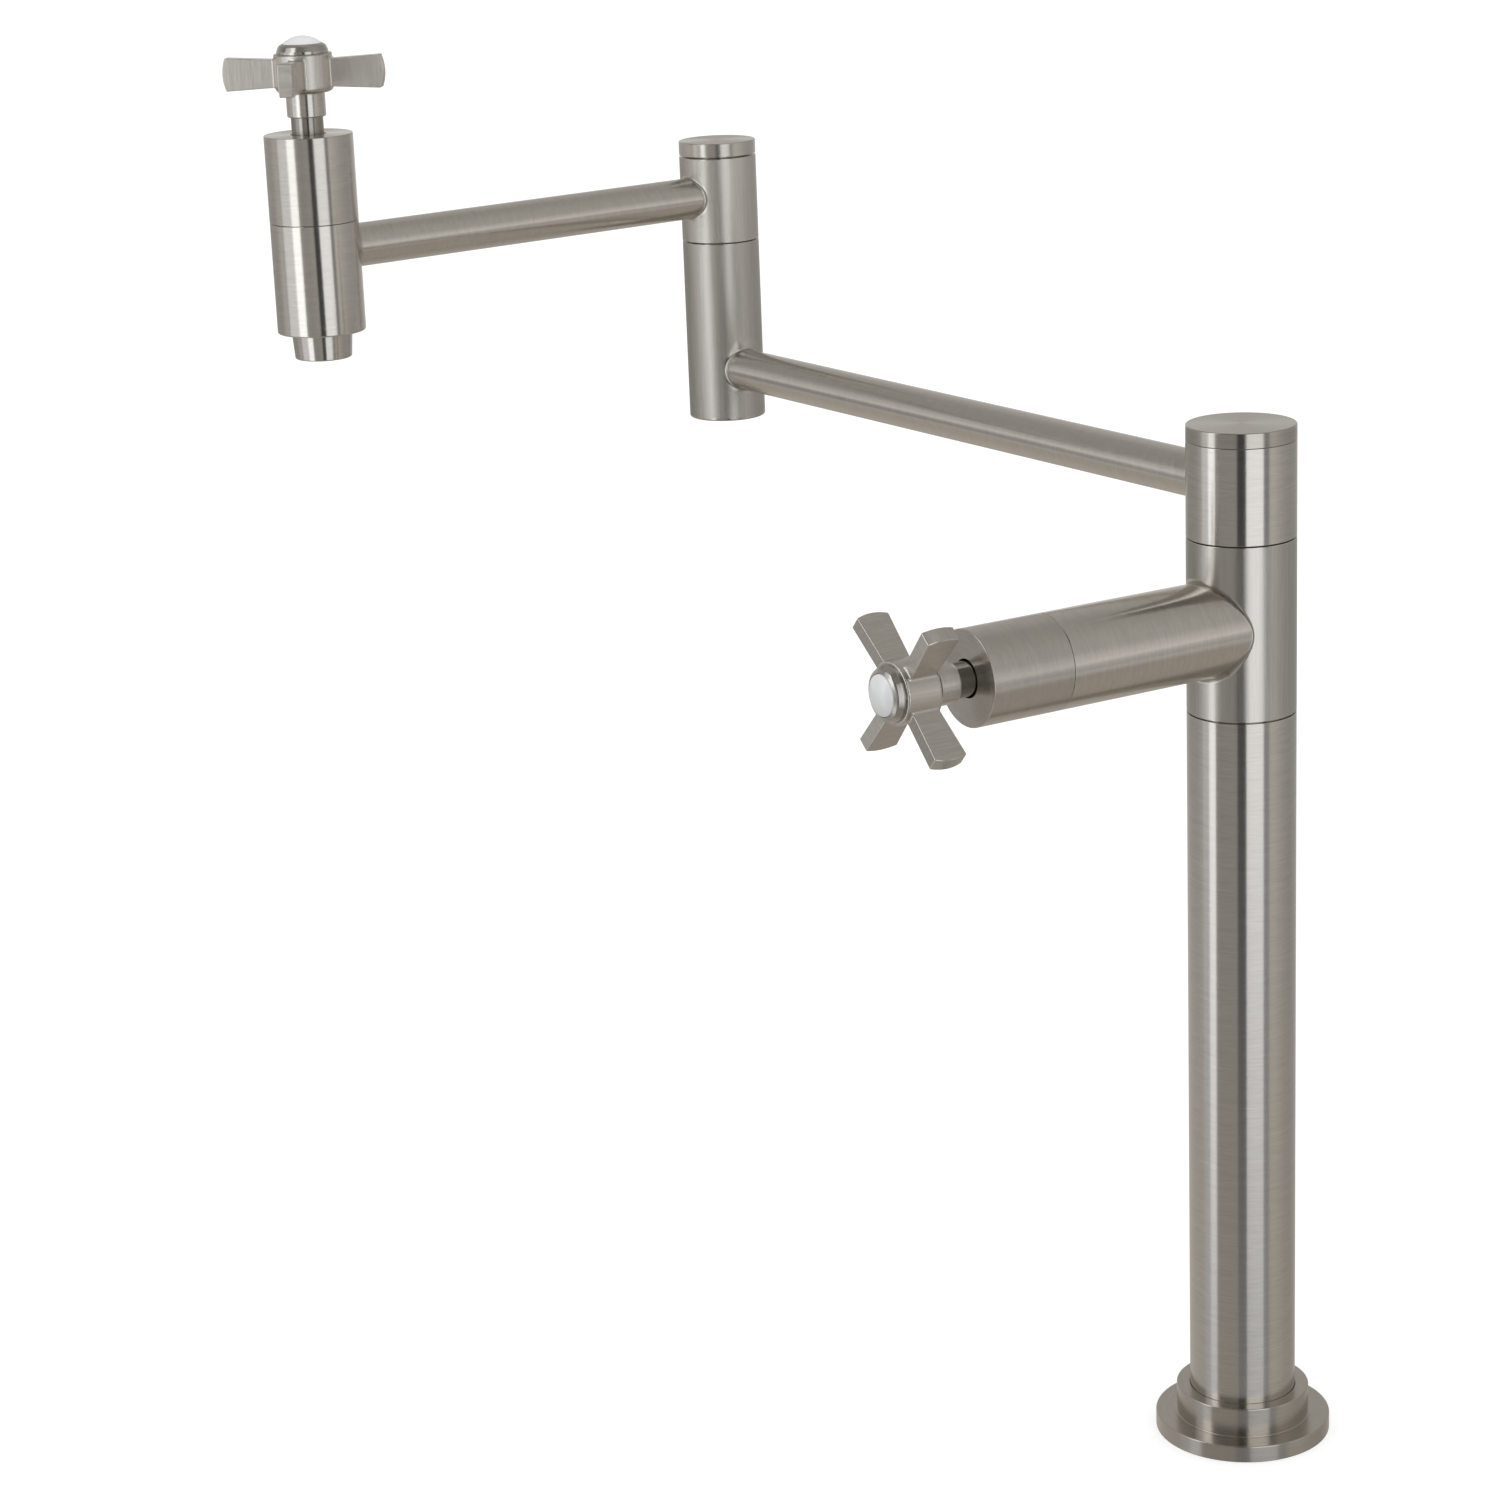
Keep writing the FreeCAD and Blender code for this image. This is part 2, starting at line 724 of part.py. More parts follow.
valve("column_valve", on_barrel, "rotationz(column_handle_angle)")
valve("spout_valve", on_spout_valve, "rotationz(spout_handle_angle)")


def swivel(name, cap, diameter, arm_rise, fixed_frame, turning_frame):
    """Make one swivel joint: a hollow post with O-rings, a washer and a clip, and the head that turns on it.

    Heights count from the seam between the fixed body below and the head above.
    """
    seam = f"{name}_seam"
    post = f"{name}_post / 2"
    head_top = f"{name}_height"
    floor = f"{name}_height - counterbore_depth"
    chamber_low = f"{arm_rise} - arm_bore / 2 - chamber_margin"
    chamber_high = f"{arm_rise} + arm_bore / 2 + chamber_margin"
    chamber = f"{post} + chamber_gap"
    rings = [
        f"(washer_thickness + {chamber_low}) / 2",
        f"({chamber_high} + {floor}) / 2",
    ]

    # Post: a hollow brass stud with a closed top, two O-ring grooves, a clip groove and a cross hole.
    outline = [(f"{post} - post_wall", "0"), (post, "0")]
    for level in rings:
        low = f"post_depth + {level} - o_ring_section / 2 - fit"
        high = f"post_depth + {level} + o_ring_section / 2 + fit"
        groove = f"{post} - o_ring_section - fit"
        outline += [(post, low), (groove, low), (groove, high), (post, high)]
    clip_low = f"post_depth + {floor} + clip_play"
    clip_high = f"{clip_low} + clip_thickness + fit"
    outline += [
        (post, clip_low),
        (f"{post} - clip_groove", clip_low),
        (f"{post} - clip_groove", clip_high),
        (post, clip_high),
        (post, f"{clip_high} + clip_thickness"),
        ("0", f"{clip_high} + clip_thickness"),
        ("0", f"post_depth + {chamber_high}"),
        (f"{post} - post_wall", f"post_depth + {chamber_high}"),
    ]
    cross_hole = rod("post_hole / 2", f"{name}_post", x=f"-{post}", z=f"post_depth + {arm_rise}", along="+X")
    finish(cut(turned("Post", outline), [cross_hole]), f"{name}_post", fixed_frame(f"{seam} - post_depth"))

    # O-rings: two rubber rings in the post's grooves, above and below the water chamber.
    pair = doc.addObject("Part::Compound", "ORings")
    pair.Links = [torus(f"({post})", "o_ring_section", level) for level in rings]
    finish(pair, f"{name}_o_rings", fixed_frame(seam))

    # Washer: a low-friction ring that the head turns on.
    finish(
        ring("Washer", f"{post} + moving_gap", f"{post} + washer_width", "washer_thickness"),
        f"{name}_washer",
        fixed_frame(seam),
    )

    # Clip: a spring ring, open on one side, that keeps the head on the post.
    gap = doc.addObject("Part::Box", "ClipGap")
    gap.setExpression("Length", bind(f"{post} + clip_width"))
    gap.setExpression("Width", bind("clip_width"))
    gap.setExpression("Height", bind("clip_thickness"))
    gap.setExpression("Placement", bind(at("0", "-clip_width / 2", "0", TURNS["+Z"])))
    clip = ring("Clip", f"{post} - clip_groove + fit", f"{post} + clip_width", "clip_thickness")
    finish(cut(clip, [gap]), f"{name}_clip", fixed_frame(f"{seam} + {floor} + clip_play"))

    # Head: the turned body that carries the arm, with a water chamber round the post.
    bore = f"{post} + fit"
    recess = f"{post} + washer_width + moving_gap"
    counterbore = f"{diameter} / 2 - head_wall"
    head = turned("Head", [
        (recess, "moving_gap"),
        (f"{diameter} / 2", "moving_gap"),
        (f"{diameter} / 2", head_top),
        (counterbore, head_top),
        (counterbore, floor),
        (bore, floor),
        (bore, chamber_high),
        (chamber, chamber_high),
        (chamber, chamber_low),
        (bore, chamber_low),
        (bore, "washer_thickness"),
        (recess, "washer_thickness"),
    ])
    finish(
        cut(head, arm_seat(f"{chamber} + arm_seat", f"{diameter} / 2", arm_rise, "+X")),
        f"{name}_head",
        turning_frame(seam),
    )

    # Cap: a turned disc whose rim stands in the head's counterbore.
    rim = f"counterbore_depth + {cap}_gap"
    finish(
        turned("Cap", [
            (f"{counterbore} - fit - cap_spigot_wall", "0"),
            (f"{counterbore} - fit", "0"),
            (f"{counterbore} - fit", rim),
            (f"{diameter} / 2", rim),
            (f"{diameter} / 2", f"{rim} + {cap}_height - edge_break"),
            (f"{diameter} / 2 - edge_break", f"{rim} + {cap}_height"),
            ("0", f"{rim} + {cap}_height"),
            ("0", rim),
            (f"{counterbore} - fit - cap_spigot_wall", rim),
        ]),
        cap,
        turning_frame(f"{seam} + {floor}"),
    )


swivel(
    "column_swivel",
    "column_cap",
    "column_diameter",
    "lower_arm_rise",
    on_column,
    lambda z: on_column(z, "rotationz(lower_arm_heading)"),
)
swivel(
    "elbow_swivel",
    "elbow_cap",
    "elbow_diameter",
    "upper_arm_rise",
    lambda z: on_elbow(z, "lower_arm_heading"),
    lambda z: on_elbow(z, "upper_arm_heading"),
)


def arm(label, start, end, x, y, height, heading):
    """Make one arm tube between two distances from the joint that it swings on."""
    finish(
        ring("Arm", "arm_bore / 2", "arm_diameter / 2", f"{end} - ({start})"),
        label,
        at(
            f"{x} + ({start}) * cos({heading} * 1deg)",
            f"{y} + ({start}) * sin({heading} * 1deg)",
            height,
            f"rotationz({heading}) * rotationy(90)",
        ),
    )


# Lower arm and elbow body: the tube's ends are brazed into the swivel head and into the elbow's lower body.
ELBOW_SEAT = "elbow_bore / 2 + chamber_gap + arm_seat"
arm(
    "lower_arm_tube",
    "column_swivel_post / 2 + chamber_gap + arm_seat",
    f"lower_arm_length - ({ELBOW_SEAT})",
    "0",
    "0",
    "lower_arm_height",
    "lower_arm_heading",
)
ELBOW_FLOOR = "elbow_drop - arm_bore / 2 - chamber_margin"
elbow = turned("Elbow", [
    ("0", "0"),
    ("elbow_diameter / 2 - elbow_edge", "0"),
    ("elbow_diameter / 2", "elbow_edge", "elbow_edge"),
    ("elbow_diameter / 2", "elbow_body_height"),
    ("elbow_swivel_post / 2 + fit", "elbow_body_height"),
    ("elbow_swivel_post / 2 + fit", "elbow_body_height - post_depth"),
    ("elbow_bore / 2", "elbow_body_height - post_depth"),
    ("elbow_bore / 2", ELBOW_FLOOR),
    ("0", ELBOW_FLOOR),
])
finish(
    cut(elbow, arm_seat(ELBOW_SEAT, "elbow_diameter / 2", "elbow_drop", "-X")),
    "elbow_lower_body",
    on_elbow("elbow_bottom", "lower_arm_heading"),
)

# Upper arm and spout body: the tube leads from the elbow's head into the valve pocket of the spout.
SPOUT_SEAT = "pocket_diameter / 2 + arm_seat"
arm(
    "upper_arm_tube",
    "elbow_swivel_post / 2 + chamber_gap + arm_seat",
    f"upper_arm_length - ({SPOUT_SEAT})",
    "elbow_x",
    "elbow_y",
    "upper_arm_height",
    "upper_arm_heading",
)
spout = turned("Spout", [
    ("nozzle_thread_diameter / 2 + fit", "0"),
    ("barrel_diameter / 2 - edge_break", "0"),
    ("barrel_diameter / 2", "edge_break"),
    ("barrel_diameter / 2", "spout_body_height"),
    ("neck_diameter / 2", "spout_body_height"),
    ("neck_diameter / 2", "spout_body_height + neck_length"),
    ("pocket_diameter / 2", "spout_body_height + neck_length"),
    ("pocket_diameter / 2", "spout_body_height - pocket_depth"),
    ("port_diameter / 2", "spout_body_height - pocket_depth"),
    ("port_diameter / 2", "nozzle_thread_length"),
    ("nozzle_thread_diameter / 2 + fit", "nozzle_thread_length"),
])
finish(
    cut(spout, arm_seat(SPOUT_SEAT, "barrel_diameter / 2", "spout_body_height - spout_seam_rise", "-X")),
    "spout_body",
    on_spout("spout_bottom"),
)

# Nozzle: a tapered outlet screwed into the spout, with a lip that holds the aerator.
NOZZLE_TOP = "nozzle_height + nozzle_thread_length"
finish(
    turned("Nozzle", [
        ("aerator_diameter / 2 - aerator_lip", "0"),
        ("nozzle_tip_diameter / 2 - edge_break", "0"),
        ("nozzle_tip_diameter / 2", "edge_break"),
        ("nozzle_root_diameter / 2", "nozzle_height"),
        ("nozzle_thread_diameter / 2", "nozzle_height"),
        ("nozzle_thread_diameter / 2", NOZZLE_TOP),
        ("aerator_diameter / 2 + fit", NOZZLE_TOP),
        ("aerator_diameter / 2 + fit", "aerator_lip_height"),
        ("aerator_diameter / 2 - aerator_lip", "aerator_lip_height"),
    ]),
    "spout_nozzle",
    on_spout("spout_bottom - nozzle_height"),
)

# Aerator: a plastic insert drilled in two rings of holes round one in the middle, and its rubber washer.
AERATOR_HEIGHT = f"{NOZZLE_TOP} - aerator_lip_height - aerator_washer_thickness"
holes = [rod("aerator_hole / 2", AERATOR_HEIGHT)]
for circle in (1, 2):
    count = 6 * circle
    for step in range(count):
        heading = f"{360 * step / count}deg"
        holes.append(
            rod(
                "aerator_hole / 2",
                AERATOR_HEIGHT,
                x=f"{circle} * aerator_hole_pitch * cos({heading})",
                y=f"{circle} * aerator_hole_pitch * sin({heading})",
            )
        )
finish(
    cut(rod("aerator_diameter / 2", AERATOR_HEIGHT), holes),
    "aerator_insert",
    on_spout("spout_bottom - nozzle_height + aerator_lip_height"),
)
finish(
    ring("AeratorWasher", "aerator_washer_bore / 2", "aerator_diameter / 2", "aerator_washer_thickness"),
    "aerator_washer",
    on_spout("spout_bottom + nozzle_thread_length - aerator_washer_thickness"),
)

doc.recompute()
failed = [o.Label for o in doc.Objects if "Invalid" in o.State or "Error" in o.State]
failed += [n.Label for n in nodes if n.Shape.isNull() or not n.Shape.isValid()]
if failed:
    raise RuntimeError("these did not build: " + ", ".join(failed))

os.makedirs("parts", exist_ok=True)
for node in nodes:
    node.Shape.exportStep(f"parts/{node.Label}.step")
    print(node.Label, len(node.Shape.Solids), round(node.Shape.Volume, 2))
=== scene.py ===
"""Deck-mounted pot filler in brushed nickel: a column with a side valve, two swing arms and a valved spout.

Sizes are in millimetres and turned into metres when a mesh is made.
"""
import bpy
import numpy as np
from mathutils import Matrix


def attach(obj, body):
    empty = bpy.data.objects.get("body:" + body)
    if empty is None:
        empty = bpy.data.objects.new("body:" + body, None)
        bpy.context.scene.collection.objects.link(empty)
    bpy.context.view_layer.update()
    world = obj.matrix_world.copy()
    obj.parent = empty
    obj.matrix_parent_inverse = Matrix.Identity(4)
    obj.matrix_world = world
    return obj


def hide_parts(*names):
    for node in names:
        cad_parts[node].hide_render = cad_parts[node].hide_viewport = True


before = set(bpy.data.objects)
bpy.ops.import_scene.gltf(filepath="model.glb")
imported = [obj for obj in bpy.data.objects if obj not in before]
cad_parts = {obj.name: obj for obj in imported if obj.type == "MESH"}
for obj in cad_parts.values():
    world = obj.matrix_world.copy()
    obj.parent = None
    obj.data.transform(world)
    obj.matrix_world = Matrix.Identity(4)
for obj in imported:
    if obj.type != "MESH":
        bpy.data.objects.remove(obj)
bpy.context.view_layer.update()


# Deck flange: a turned brass escutcheon with a collar that hides the column's foot.
# It is brushed round its axis on a lathe and then nickel plated; it stands on a rubber gasket.
MM = 0.001
ARC_POINTS, SAME_POINT = 6, 1e-7
HIDDEN_EDGE, SEAM_EDGE, CRISP, EASED, RIM_EDGE = 0.1, 0.15, 0.2, 0.3, 0.4


def rounded(corners, closed=False):
    """Profile through (radius, height, rounding) corners, each rounded by an arc tangent to both its edges.

    The solid lies on the left of the walk, so the normal is the walking direction turned a quarter clockwise.
    A corner without a rounding gets a hidden edge's, and the ends of an open profile stay points.
    Returns the points and their unit normals.
    """
    c = np.array([(*corner, HIDDEN_EDGE)[:3] for corner in corners], float)
    spot, rounding = c[:, :2], c[:, 2]
    leaving = np.roll(spot, -1, 0) - spot
    leaving /= np.linalg.norm(leaving, axis=1, keepdims=True)
    arriving = np.roll(leaving, 1, 0)
    if not closed:
        arriving[0] = leaving[0]
        leaving[-1] = arriving[-1]
    turn = np.arctan2(
        arriving[:, 0] * leaving[:, 1] - arriving[:, 1] * leaving[:, 0], (arriving * leaving).sum(1))
    start = np.arctan2(arriving[:, 1], arriving[:, 0])
    heading = start[:, None] + turn[:, None] * np.linspace(0, 1, ARC_POINTS)
    normal = np.stack([np.sin(heading), -np.cos(heading)], -1)
    signed = np.sign(turn) * rounding
    left = np.stack([-arriving[:, 1], arriving[:, 0]], 1)
    centre = spot - arriving * (rounding * np.abs(np.tan(turn / 2)))[:, None] + left * signed[:, None]
    point = (centre[:, None] + normal * signed[:, None, None]).reshape(-1, 2)
    normal = normal.reshape(-1, 2)
    kept = np.r_[True, np.linalg.norm(np.diff(point, axis=0), axis=1) > SAME_POINT]
    point, normal = point[kept], normal[kept]
    if closed:
        point, normal = np.vstack([point, point[:1]]), np.vstack([normal, normal[:1]])
    return point, normal


def stepped(radius, height, *moves, up_first=False, closed=False):
    """Profile that goes in or out and up or down by turns: each move is the next radius or the next height.

    A move given as (size, rounding) rounds the corner at its end.
    """
    corners, spot, part = [(radius, height)], [radius, height], int(up_first)
    for move in moves:
        spot[part], *rounding = move if isinstance(move, tuple) else (move,)
        corners.append((*spot, *rounding))
        part = 1 - part
    return rounded(corners, closed)


def distance_along(point):
    """Length walked from a profile's start to each of its points."""
    return np.r_[0, np.cumsum(np.linalg.norm(np.diff(point, axis=0), axis=1))]


def in_place(axes, point, normal, lay, grain):
    """Grid of points in a piece's own axes (first, second, third) moved to the object's frame.

    Each grid carries its normals, the direction across the brushing (lay) and the brushing's own
    coordinates (grain): distance along the profile and the cosine and sine of the turn.
    """
    turn = axes[1:]
    return axes[0] + point @ turn, normal @ turn, lay @ turn, grain


def turned(profile, axes, angles):
    """Surface of revolution: radius r and height h go to (r cos a, r sin a, h) for every angle a."""
    point, normal = profile
    c, s = np.cos(angles), np.sin(angles)

    def carried(pair):
        """Profile vectors swept round the axis."""
        r, h = pair[:, :1], pair[:, 1:]
        return np.stack([r * c, r * s, h + 0 * c], -1)

    along = np.stack([-normal[:, 1], normal[:, 0]], 1)
    grain = np.stack(np.broadcast_arrays(distance_along(point)[:, None], c, s), -1)
    return in_place(axes, carried(point), carried(normal), carried(along), grain)


def placed(name, data):
    """New object in the scene."""
    thing = bpy.data.objects.new(name, data)
    bpy.context.scene.collection.objects.link(thing)
    return thing


MERGE_CELL, OFF_TIE, NO_LENGTH = 2e-4, 0.37, 1e-6


def mesh_piece(name, grids, material, body, nodes):
    """Closed mesh from grids of points: four-cornered faces between neighbours, meeting points merged."""
    points, normals, lays, grains = (np.concatenate([g[k].reshape(-1, 3) for g in grids]) for k in range(4))
    faces, first = [], 0
    for grid in grids:
        rows, columns = grid[0].shape[:2]
        index = first + np.arange(rows * columns).reshape(rows, columns)
        around = index[:-1, :-1], index[:-1, 1:], index[1:, 1:], index[1:, :-1]
        faces.append(np.stack(around, -1).reshape(-1, 4))
        first += rows * columns
    cell = np.round(points / MERGE_CELL + OFF_TIE).astype(np.int64)
    _, kept, merged = np.unique(cell, axis=0, return_index=True, return_inverse=True)
    merged = merged.ravel()
    corners = merged[np.concatenate(faces)]
    distinct = corners != np.roll(corners, 1, 1)
    quads = corners[distinct.all(1)]
    threes = distinct.sum(1) == 3
    triangles = corners[threes][distinct[threes]].reshape(-1, 3)
    smooth = np.zeros((len(kept), 3))
    np.add.at(smooth, merged, normals)
    size = np.linalg.norm(smooth, axis=1, keepdims=True)
    smooth = np.where(size > NO_LENGTH, smooth / np.maximum(size, NO_LENGTH), normals[kept])
    mesh = bpy.data.meshes.new(name)
    mesh.from_pydata((points[kept] * MM).tolist(), [], quads.tolist() + triangles.tolist())
    mesh.polygons.foreach_set("use_smooth", np.ones(len(mesh.polygons), bool))
    for label, values in (("lay", lays), ("grain", grains)):
        mesh.attributes.new(label, "FLOAT_VECTOR", "POINT").data.foreach_set("vector", values[kept].ravel())
    mesh.normals_split_custom_set_from_vertices(smooth.tolist())
    mesh.materials.append(material)
    piece = placed(name, mesh)
    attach(piece, body)
    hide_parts(*nodes)


def feed(node, inputs):
    """Give a node its inputs: an output is linked to the socket, and any other value is set on it."""
    for key, value in inputs.items():
        if isinstance(value, bpy.types.NodeSocket):
            node.id_data.links.new(value, node.inputs[key])
        else:
            node.inputs[key].default_value = value


def node_tools(owner):
    """Maker of nodes for a material or the world: add(kind, {socket: value or output}, **settings)."""

    def add(kind, inputs=None, **settings):
        """One node with its settings and inputs; gives its outputs."""
        node = owner.node_tree.nodes.new("ShaderNode" + kind)
        for key, value in settings.items():
            setattr(node, key, value)
        feed(node, inputs or {})
        return node.outputs

    return add


def new_material(name):
    """New material, its shader and its maker of nodes."""
    material = bpy.data.materials.new(name)
    material.use_nodes = True
    shader = material.node_tree.nodes["Principled BSDF"]
    return material, shader, node_tools(material)


def times(add, vector, factor):
    """Product of two vectors or colours, part by part."""
    return add("VectorMath", {0: vector, 1: factor}, operation="MULTIPLY")[0]


NOISE_LOW, NOISE_HIGH = 0.36, 0.64


def spread(add, value, low, high):
    """Noise value, which stays about between its own low and high, spread between two numbers."""
    return add("MapRange", {
        "Value": value, "From Min": NOISE_LOW, "From Max": NOISE_HIGH, "To Min": low, "To Max": high,
    })[0]


FINE_LINES, BROAD_CLOUDS, CLOUD_SHARE = (3.2, 2.6, 2.6), (0.35, 1.3, 1.3), 0.25
SCRATCH_STRENGTH, SCRATCH_DEPTH = 0.02, 0.00002


def nickel_plate(name, colour, rough, stretch, streak):
    """Brushed nickel: streaks that follow the turning vary the colour, roughness and height a little.

    The highlight is stretched across the brushing by the shader's anisotropy, along the lay attribute.
    """
    material, shader, add = new_material(name)
    grain = add("Attribute", attribute_name="grain")["Vector"]
    fine = times(add, grain, FINE_LINES)
    broad = times(add, grain, BROAD_CLOUDS)
    lines = add("TexNoise", {"Vector": fine, "Scale": 1.0, "Detail": 3.0, "Roughness": 0.6})["Fac"]
    clouds = add("TexNoise", {"Vector": broad, "Scale": 1.0, "Detail": 2.0})["Fac"]
    mixed = add("Mix", {"Factor": CLOUD_SHARE, 2: lines, 3: clouds}, data_type="FLOAT")[0]
    shade = spread(add, mixed, 1.0 - streak, 1.0 + streak)
    tint = add("VectorMath", {0: colour, "Scale": shade}, operation="SCALE")[0]
    dull = spread(add, mixed, rough - streak / 4, rough + streak / 4)
    bump = add("Bump", {"Strength": SCRATCH_STRENGTH, "Distance": SCRATCH_DEPTH, "Height": mixed})[0]
    lay = add("Attribute", attribute_name="lay")["Vector"]
    across = add(
        "VectorTransform", {"Vector": lay}, vector_type="VECTOR", convert_from="OBJECT", convert_to="WORLD")
    feed(shader, {
        "Base Color": tint, "Roughness": dull, "Normal": bump, "Tangent": across[0],
        "Metallic": 1.0, "Anisotropic": stretch})
    return material


NICKEL = (0.64, 0.605, 0.55)
brushed = nickel_plate("Brushed_Nickel", NICKEL, rough=0.2, stretch=0.83, streak=0.055)
# Darker, warmer copy of the nickel: on the deck flange and its collar it is painted shade for the shade near
# the floor; the column's cap takes the same darker tone.
darker_brushed = nickel_plate(
    "Darker_Brushed_Nickel", (0.55, 0.512, 0.459), rough=0.22, stretch=0.75, streak=0.05)
TURN_STEPS = 96
ROUND = np.linspace(0, 2 * np.pi, TURN_STEPS + 1)
X, Y, Z = np.eye(3)
COLUMN_AXES = np.array([0 * Z, X, Y, Z])
FLANGE_RADIUS, FLANGE_HEIGHT, FLANGE_HOLE = 31.5, 6.2, 14.0
COLLAR_RADIUS, COLLAR_TOP, COLLAR_ROOT = 23.9, 17.1, 0.25
COLUMN_RADIUS, COLUMN_FIT, FOOT = 19.0, 0.12, 3.5
GASKET_RADIUS, GASKET_HEIGHT = 26.0, 1.5
flange = stepped(
    FLANGE_HOLE, GASKET_HEIGHT, GASKET_RADIUS, 0, (FLANGE_RADIUS, EASED), (FLANGE_HEIGHT, RIM_EDGE),
    (COLLAR_RADIUS, COLLAR_ROOT), (COLLAR_TOP, RIM_EDGE), (COLUMN_RADIUS + COLUMN_FIT, CRISP), FOOT,
    FLANGE_HOLE, closed=True)
# The flange's darker, warmer nickel is painted shade near the floor, not a finer brushing.
mesh_piece("Deck_Flange", [turned(flange, COLUMN_AXES, ROUND)], darker_brushed, "column", ["deck_flange"])


def blend(add, share, first, second):
    """Colour between two colours: the first at share 0 and the second at share 1."""
    return add("Mix", {"Factor": share, 6: first, 7: second}, data_type="RGBA")[2]


SPECKLE_FINER, ROUGH_SWAY, GRIT_DEPTH = 12, 0.15, 0.00005


def plain_stuff(name, colour, second, rough, scale, metallic=0.0, grit=0.2):
    """Plain material with cloudy colour, roughness and a fine rough grain, in the piece's own coordinates."""
    material, shader, add = new_material(name)
    where = add("TexCoord")["Object"]
    clouds = add("TexNoise", {"Vector": where, "Scale": scale, "Detail": 4.0})["Fac"]
    speckle = add("TexNoise", {"Vector": where, "Scale": scale * SPECKLE_FINER, "Detail": 2.0})["Fac"]
    tint = blend(add, spread(add, clouds, 0.0, 1.0), (*colour, 1), (*second, 1))
    dull = spread(add, speckle, rough * (1 - ROUGH_SWAY), rough * (1 + ROUGH_SWAY))
    bump = add("Bump", {"Strength": grit, "Distance": GRIT_DEPTH, "Height": speckle})[0]
    feed(shader, {"Base Color": tint, "Roughness": dull, "Normal": bump, "Metallic": metallic})
    return material


def dress(material, *nodes):
    """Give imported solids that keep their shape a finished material."""
    for node in nodes:
        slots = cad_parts[node].data.materials
        slots.clear()
        slots.append(material)


rubber = plain_stuff("Black_Rubber", (0.022, 0.022, 0.023), (0.036, 0.035, 0.034), rough=0.62, scale=300)
dress(rubber, "deck_gasket")


# Fixing below the deck: a brass shank with a rolled thread, a rubber washer, a steel washer and a brass nut.
# The nut pulls the flange down on the worktop; the supply screws on the shank's thinner end.
SHANK_RADIUS, SHANK_BORE, SHANK_TOP, SHANK_BOTTOM = 13.22, 6.0, 23.5, -67.0
INLET_RADIUS, INLET_TOP, PLAIN_END = 10.4775, -51.0, 1.0
PITCH, THREAD_DEPTH, ROWS_PER_PITCH = 1.814, 1.0, 8
FLANK_SLOPE, CREST_FLAT = 1.15, 0.08
brass = plain_stuff(
    "Turned_Brass", (0.74, 0.56, 0.27), (0.66, 0.49, 0.22), rough=0.3, scale=120, metallic=1.0,
    grit=0.12)


def surface_normals(point):
    """Outward normals of a closed band of points: the step round crossed with the step up, ends shared."""
    normal = np.cross(np.gradient(point, axis=1), np.gradient(point, axis=0))
    normal /= np.linalg.norm(normal, axis=-1, keepdims=True)
    normal[:, 0] = normal[:, -1] = normal[:, 0] + normal[:, -1]
    return normal


def threaded(low, high, radius, angles):
    """Thread: radius less a flat-tipped triangle wave in (height - pitch x turn), faded out at both ends."""
    height = np.linspace(low, high, int((high - low) / PITCH * ROWS_PER_PITCH) + 2)[:, None]
    wave = np.abs(((height / PITCH - angles / (2 * np.pi)) % 1) * 2 - 1)
    fade = np.clip(np.minimum(height - low, high - height) / PITCH, 0, 1)
    r = radius - THREAD_DEPTH * fade * np.clip(FLANK_SLOPE * wave - CREST_FLAT, 0, 1)
    point = np.stack([r * np.cos(angles), r * np.sin(angles), height + 0 * angles], -1)
    return in_place(COLUMN_AXES, point, surface_normals(point), 0 * point + Z, point)


shank_ends = stepped(
    SHANK_RADIUS, SHANK_TOP - PLAIN_END, (SHANK_TOP, RIM_EDGE), (SHANK_BORE, RIM_EDGE),
    (SHANK_BOTTOM, RIM_EDGE), (INLET_RADIUS, RIM_EDGE), SHANK_BOTTOM + PLAIN_END, up_first=True)
shank_step = stepped(
    INLET_RADIUS, INLET_TOP - PLAIN_END, (INLET_TOP, CRISP), (SHANK_RADIUS, RIM_EDGE),
    INLET_TOP + PLAIN_END, up_first=True)
shank = [
    turned(shank_ends, COLUMN_AXES, ROUND),
    threaded(SHANK_BOTTOM + PLAIN_END, INLET_TOP - PLAIN_END, INLET_RADIUS, ROUND),
    turned(shank_step, COLUMN_AXES, ROUND),
    threaded(INLET_TOP + PLAIN_END, SHANK_TOP - PLAIN_END, SHANK_RADIUS, ROUND),
]
mesh_piece("Threaded_Shank", shank, brass, "column", ["threaded_shank"])

NUT_LOW, NUT_HIGH, NUT_FLATS, NUT_BORE, NUT_EDGE = -45.0, -35.0, 18.0, 13.27, 0.5
BEVEL_START, BEVEL_SLOPE = 0.98, 1.7
NUT_ROWS, NUT_STEPS = 25, 144


def hexagon_nut(angles):
    """Hexagonal nut: radius is the smaller of the hexagon's and of a cone that bevels both faces."""
    height = np.linspace(NUT_LOW, NUT_HIGH, NUT_ROWS)
    hexagon = NUT_FLATS / np.cos((angles + np.pi / 6) % (np.pi / 3) - np.pi / 6)
    face = NUT_FLATS * BEVEL_START
    bevel = face + BEVEL_SLOPE * np.minimum(height - NUT_LOW, NUT_HIGH - height)[:, None]
    r = np.minimum(hexagon, bevel)
    side = np.stack([r * np.cos(angles), r * np.sin(angles), height[:, None] + 0 * angles], -1)
    hole = stepped(face, NUT_HIGH, (NUT_BORE, NUT_EDGE), (NUT_LOW, NUT_EDGE), face)
    return [
        in_place(COLUMN_AXES, side, surface_normals(side), 0 * side + Z, side),
        turned(hole, COLUMN_AXES, angles),
    ]


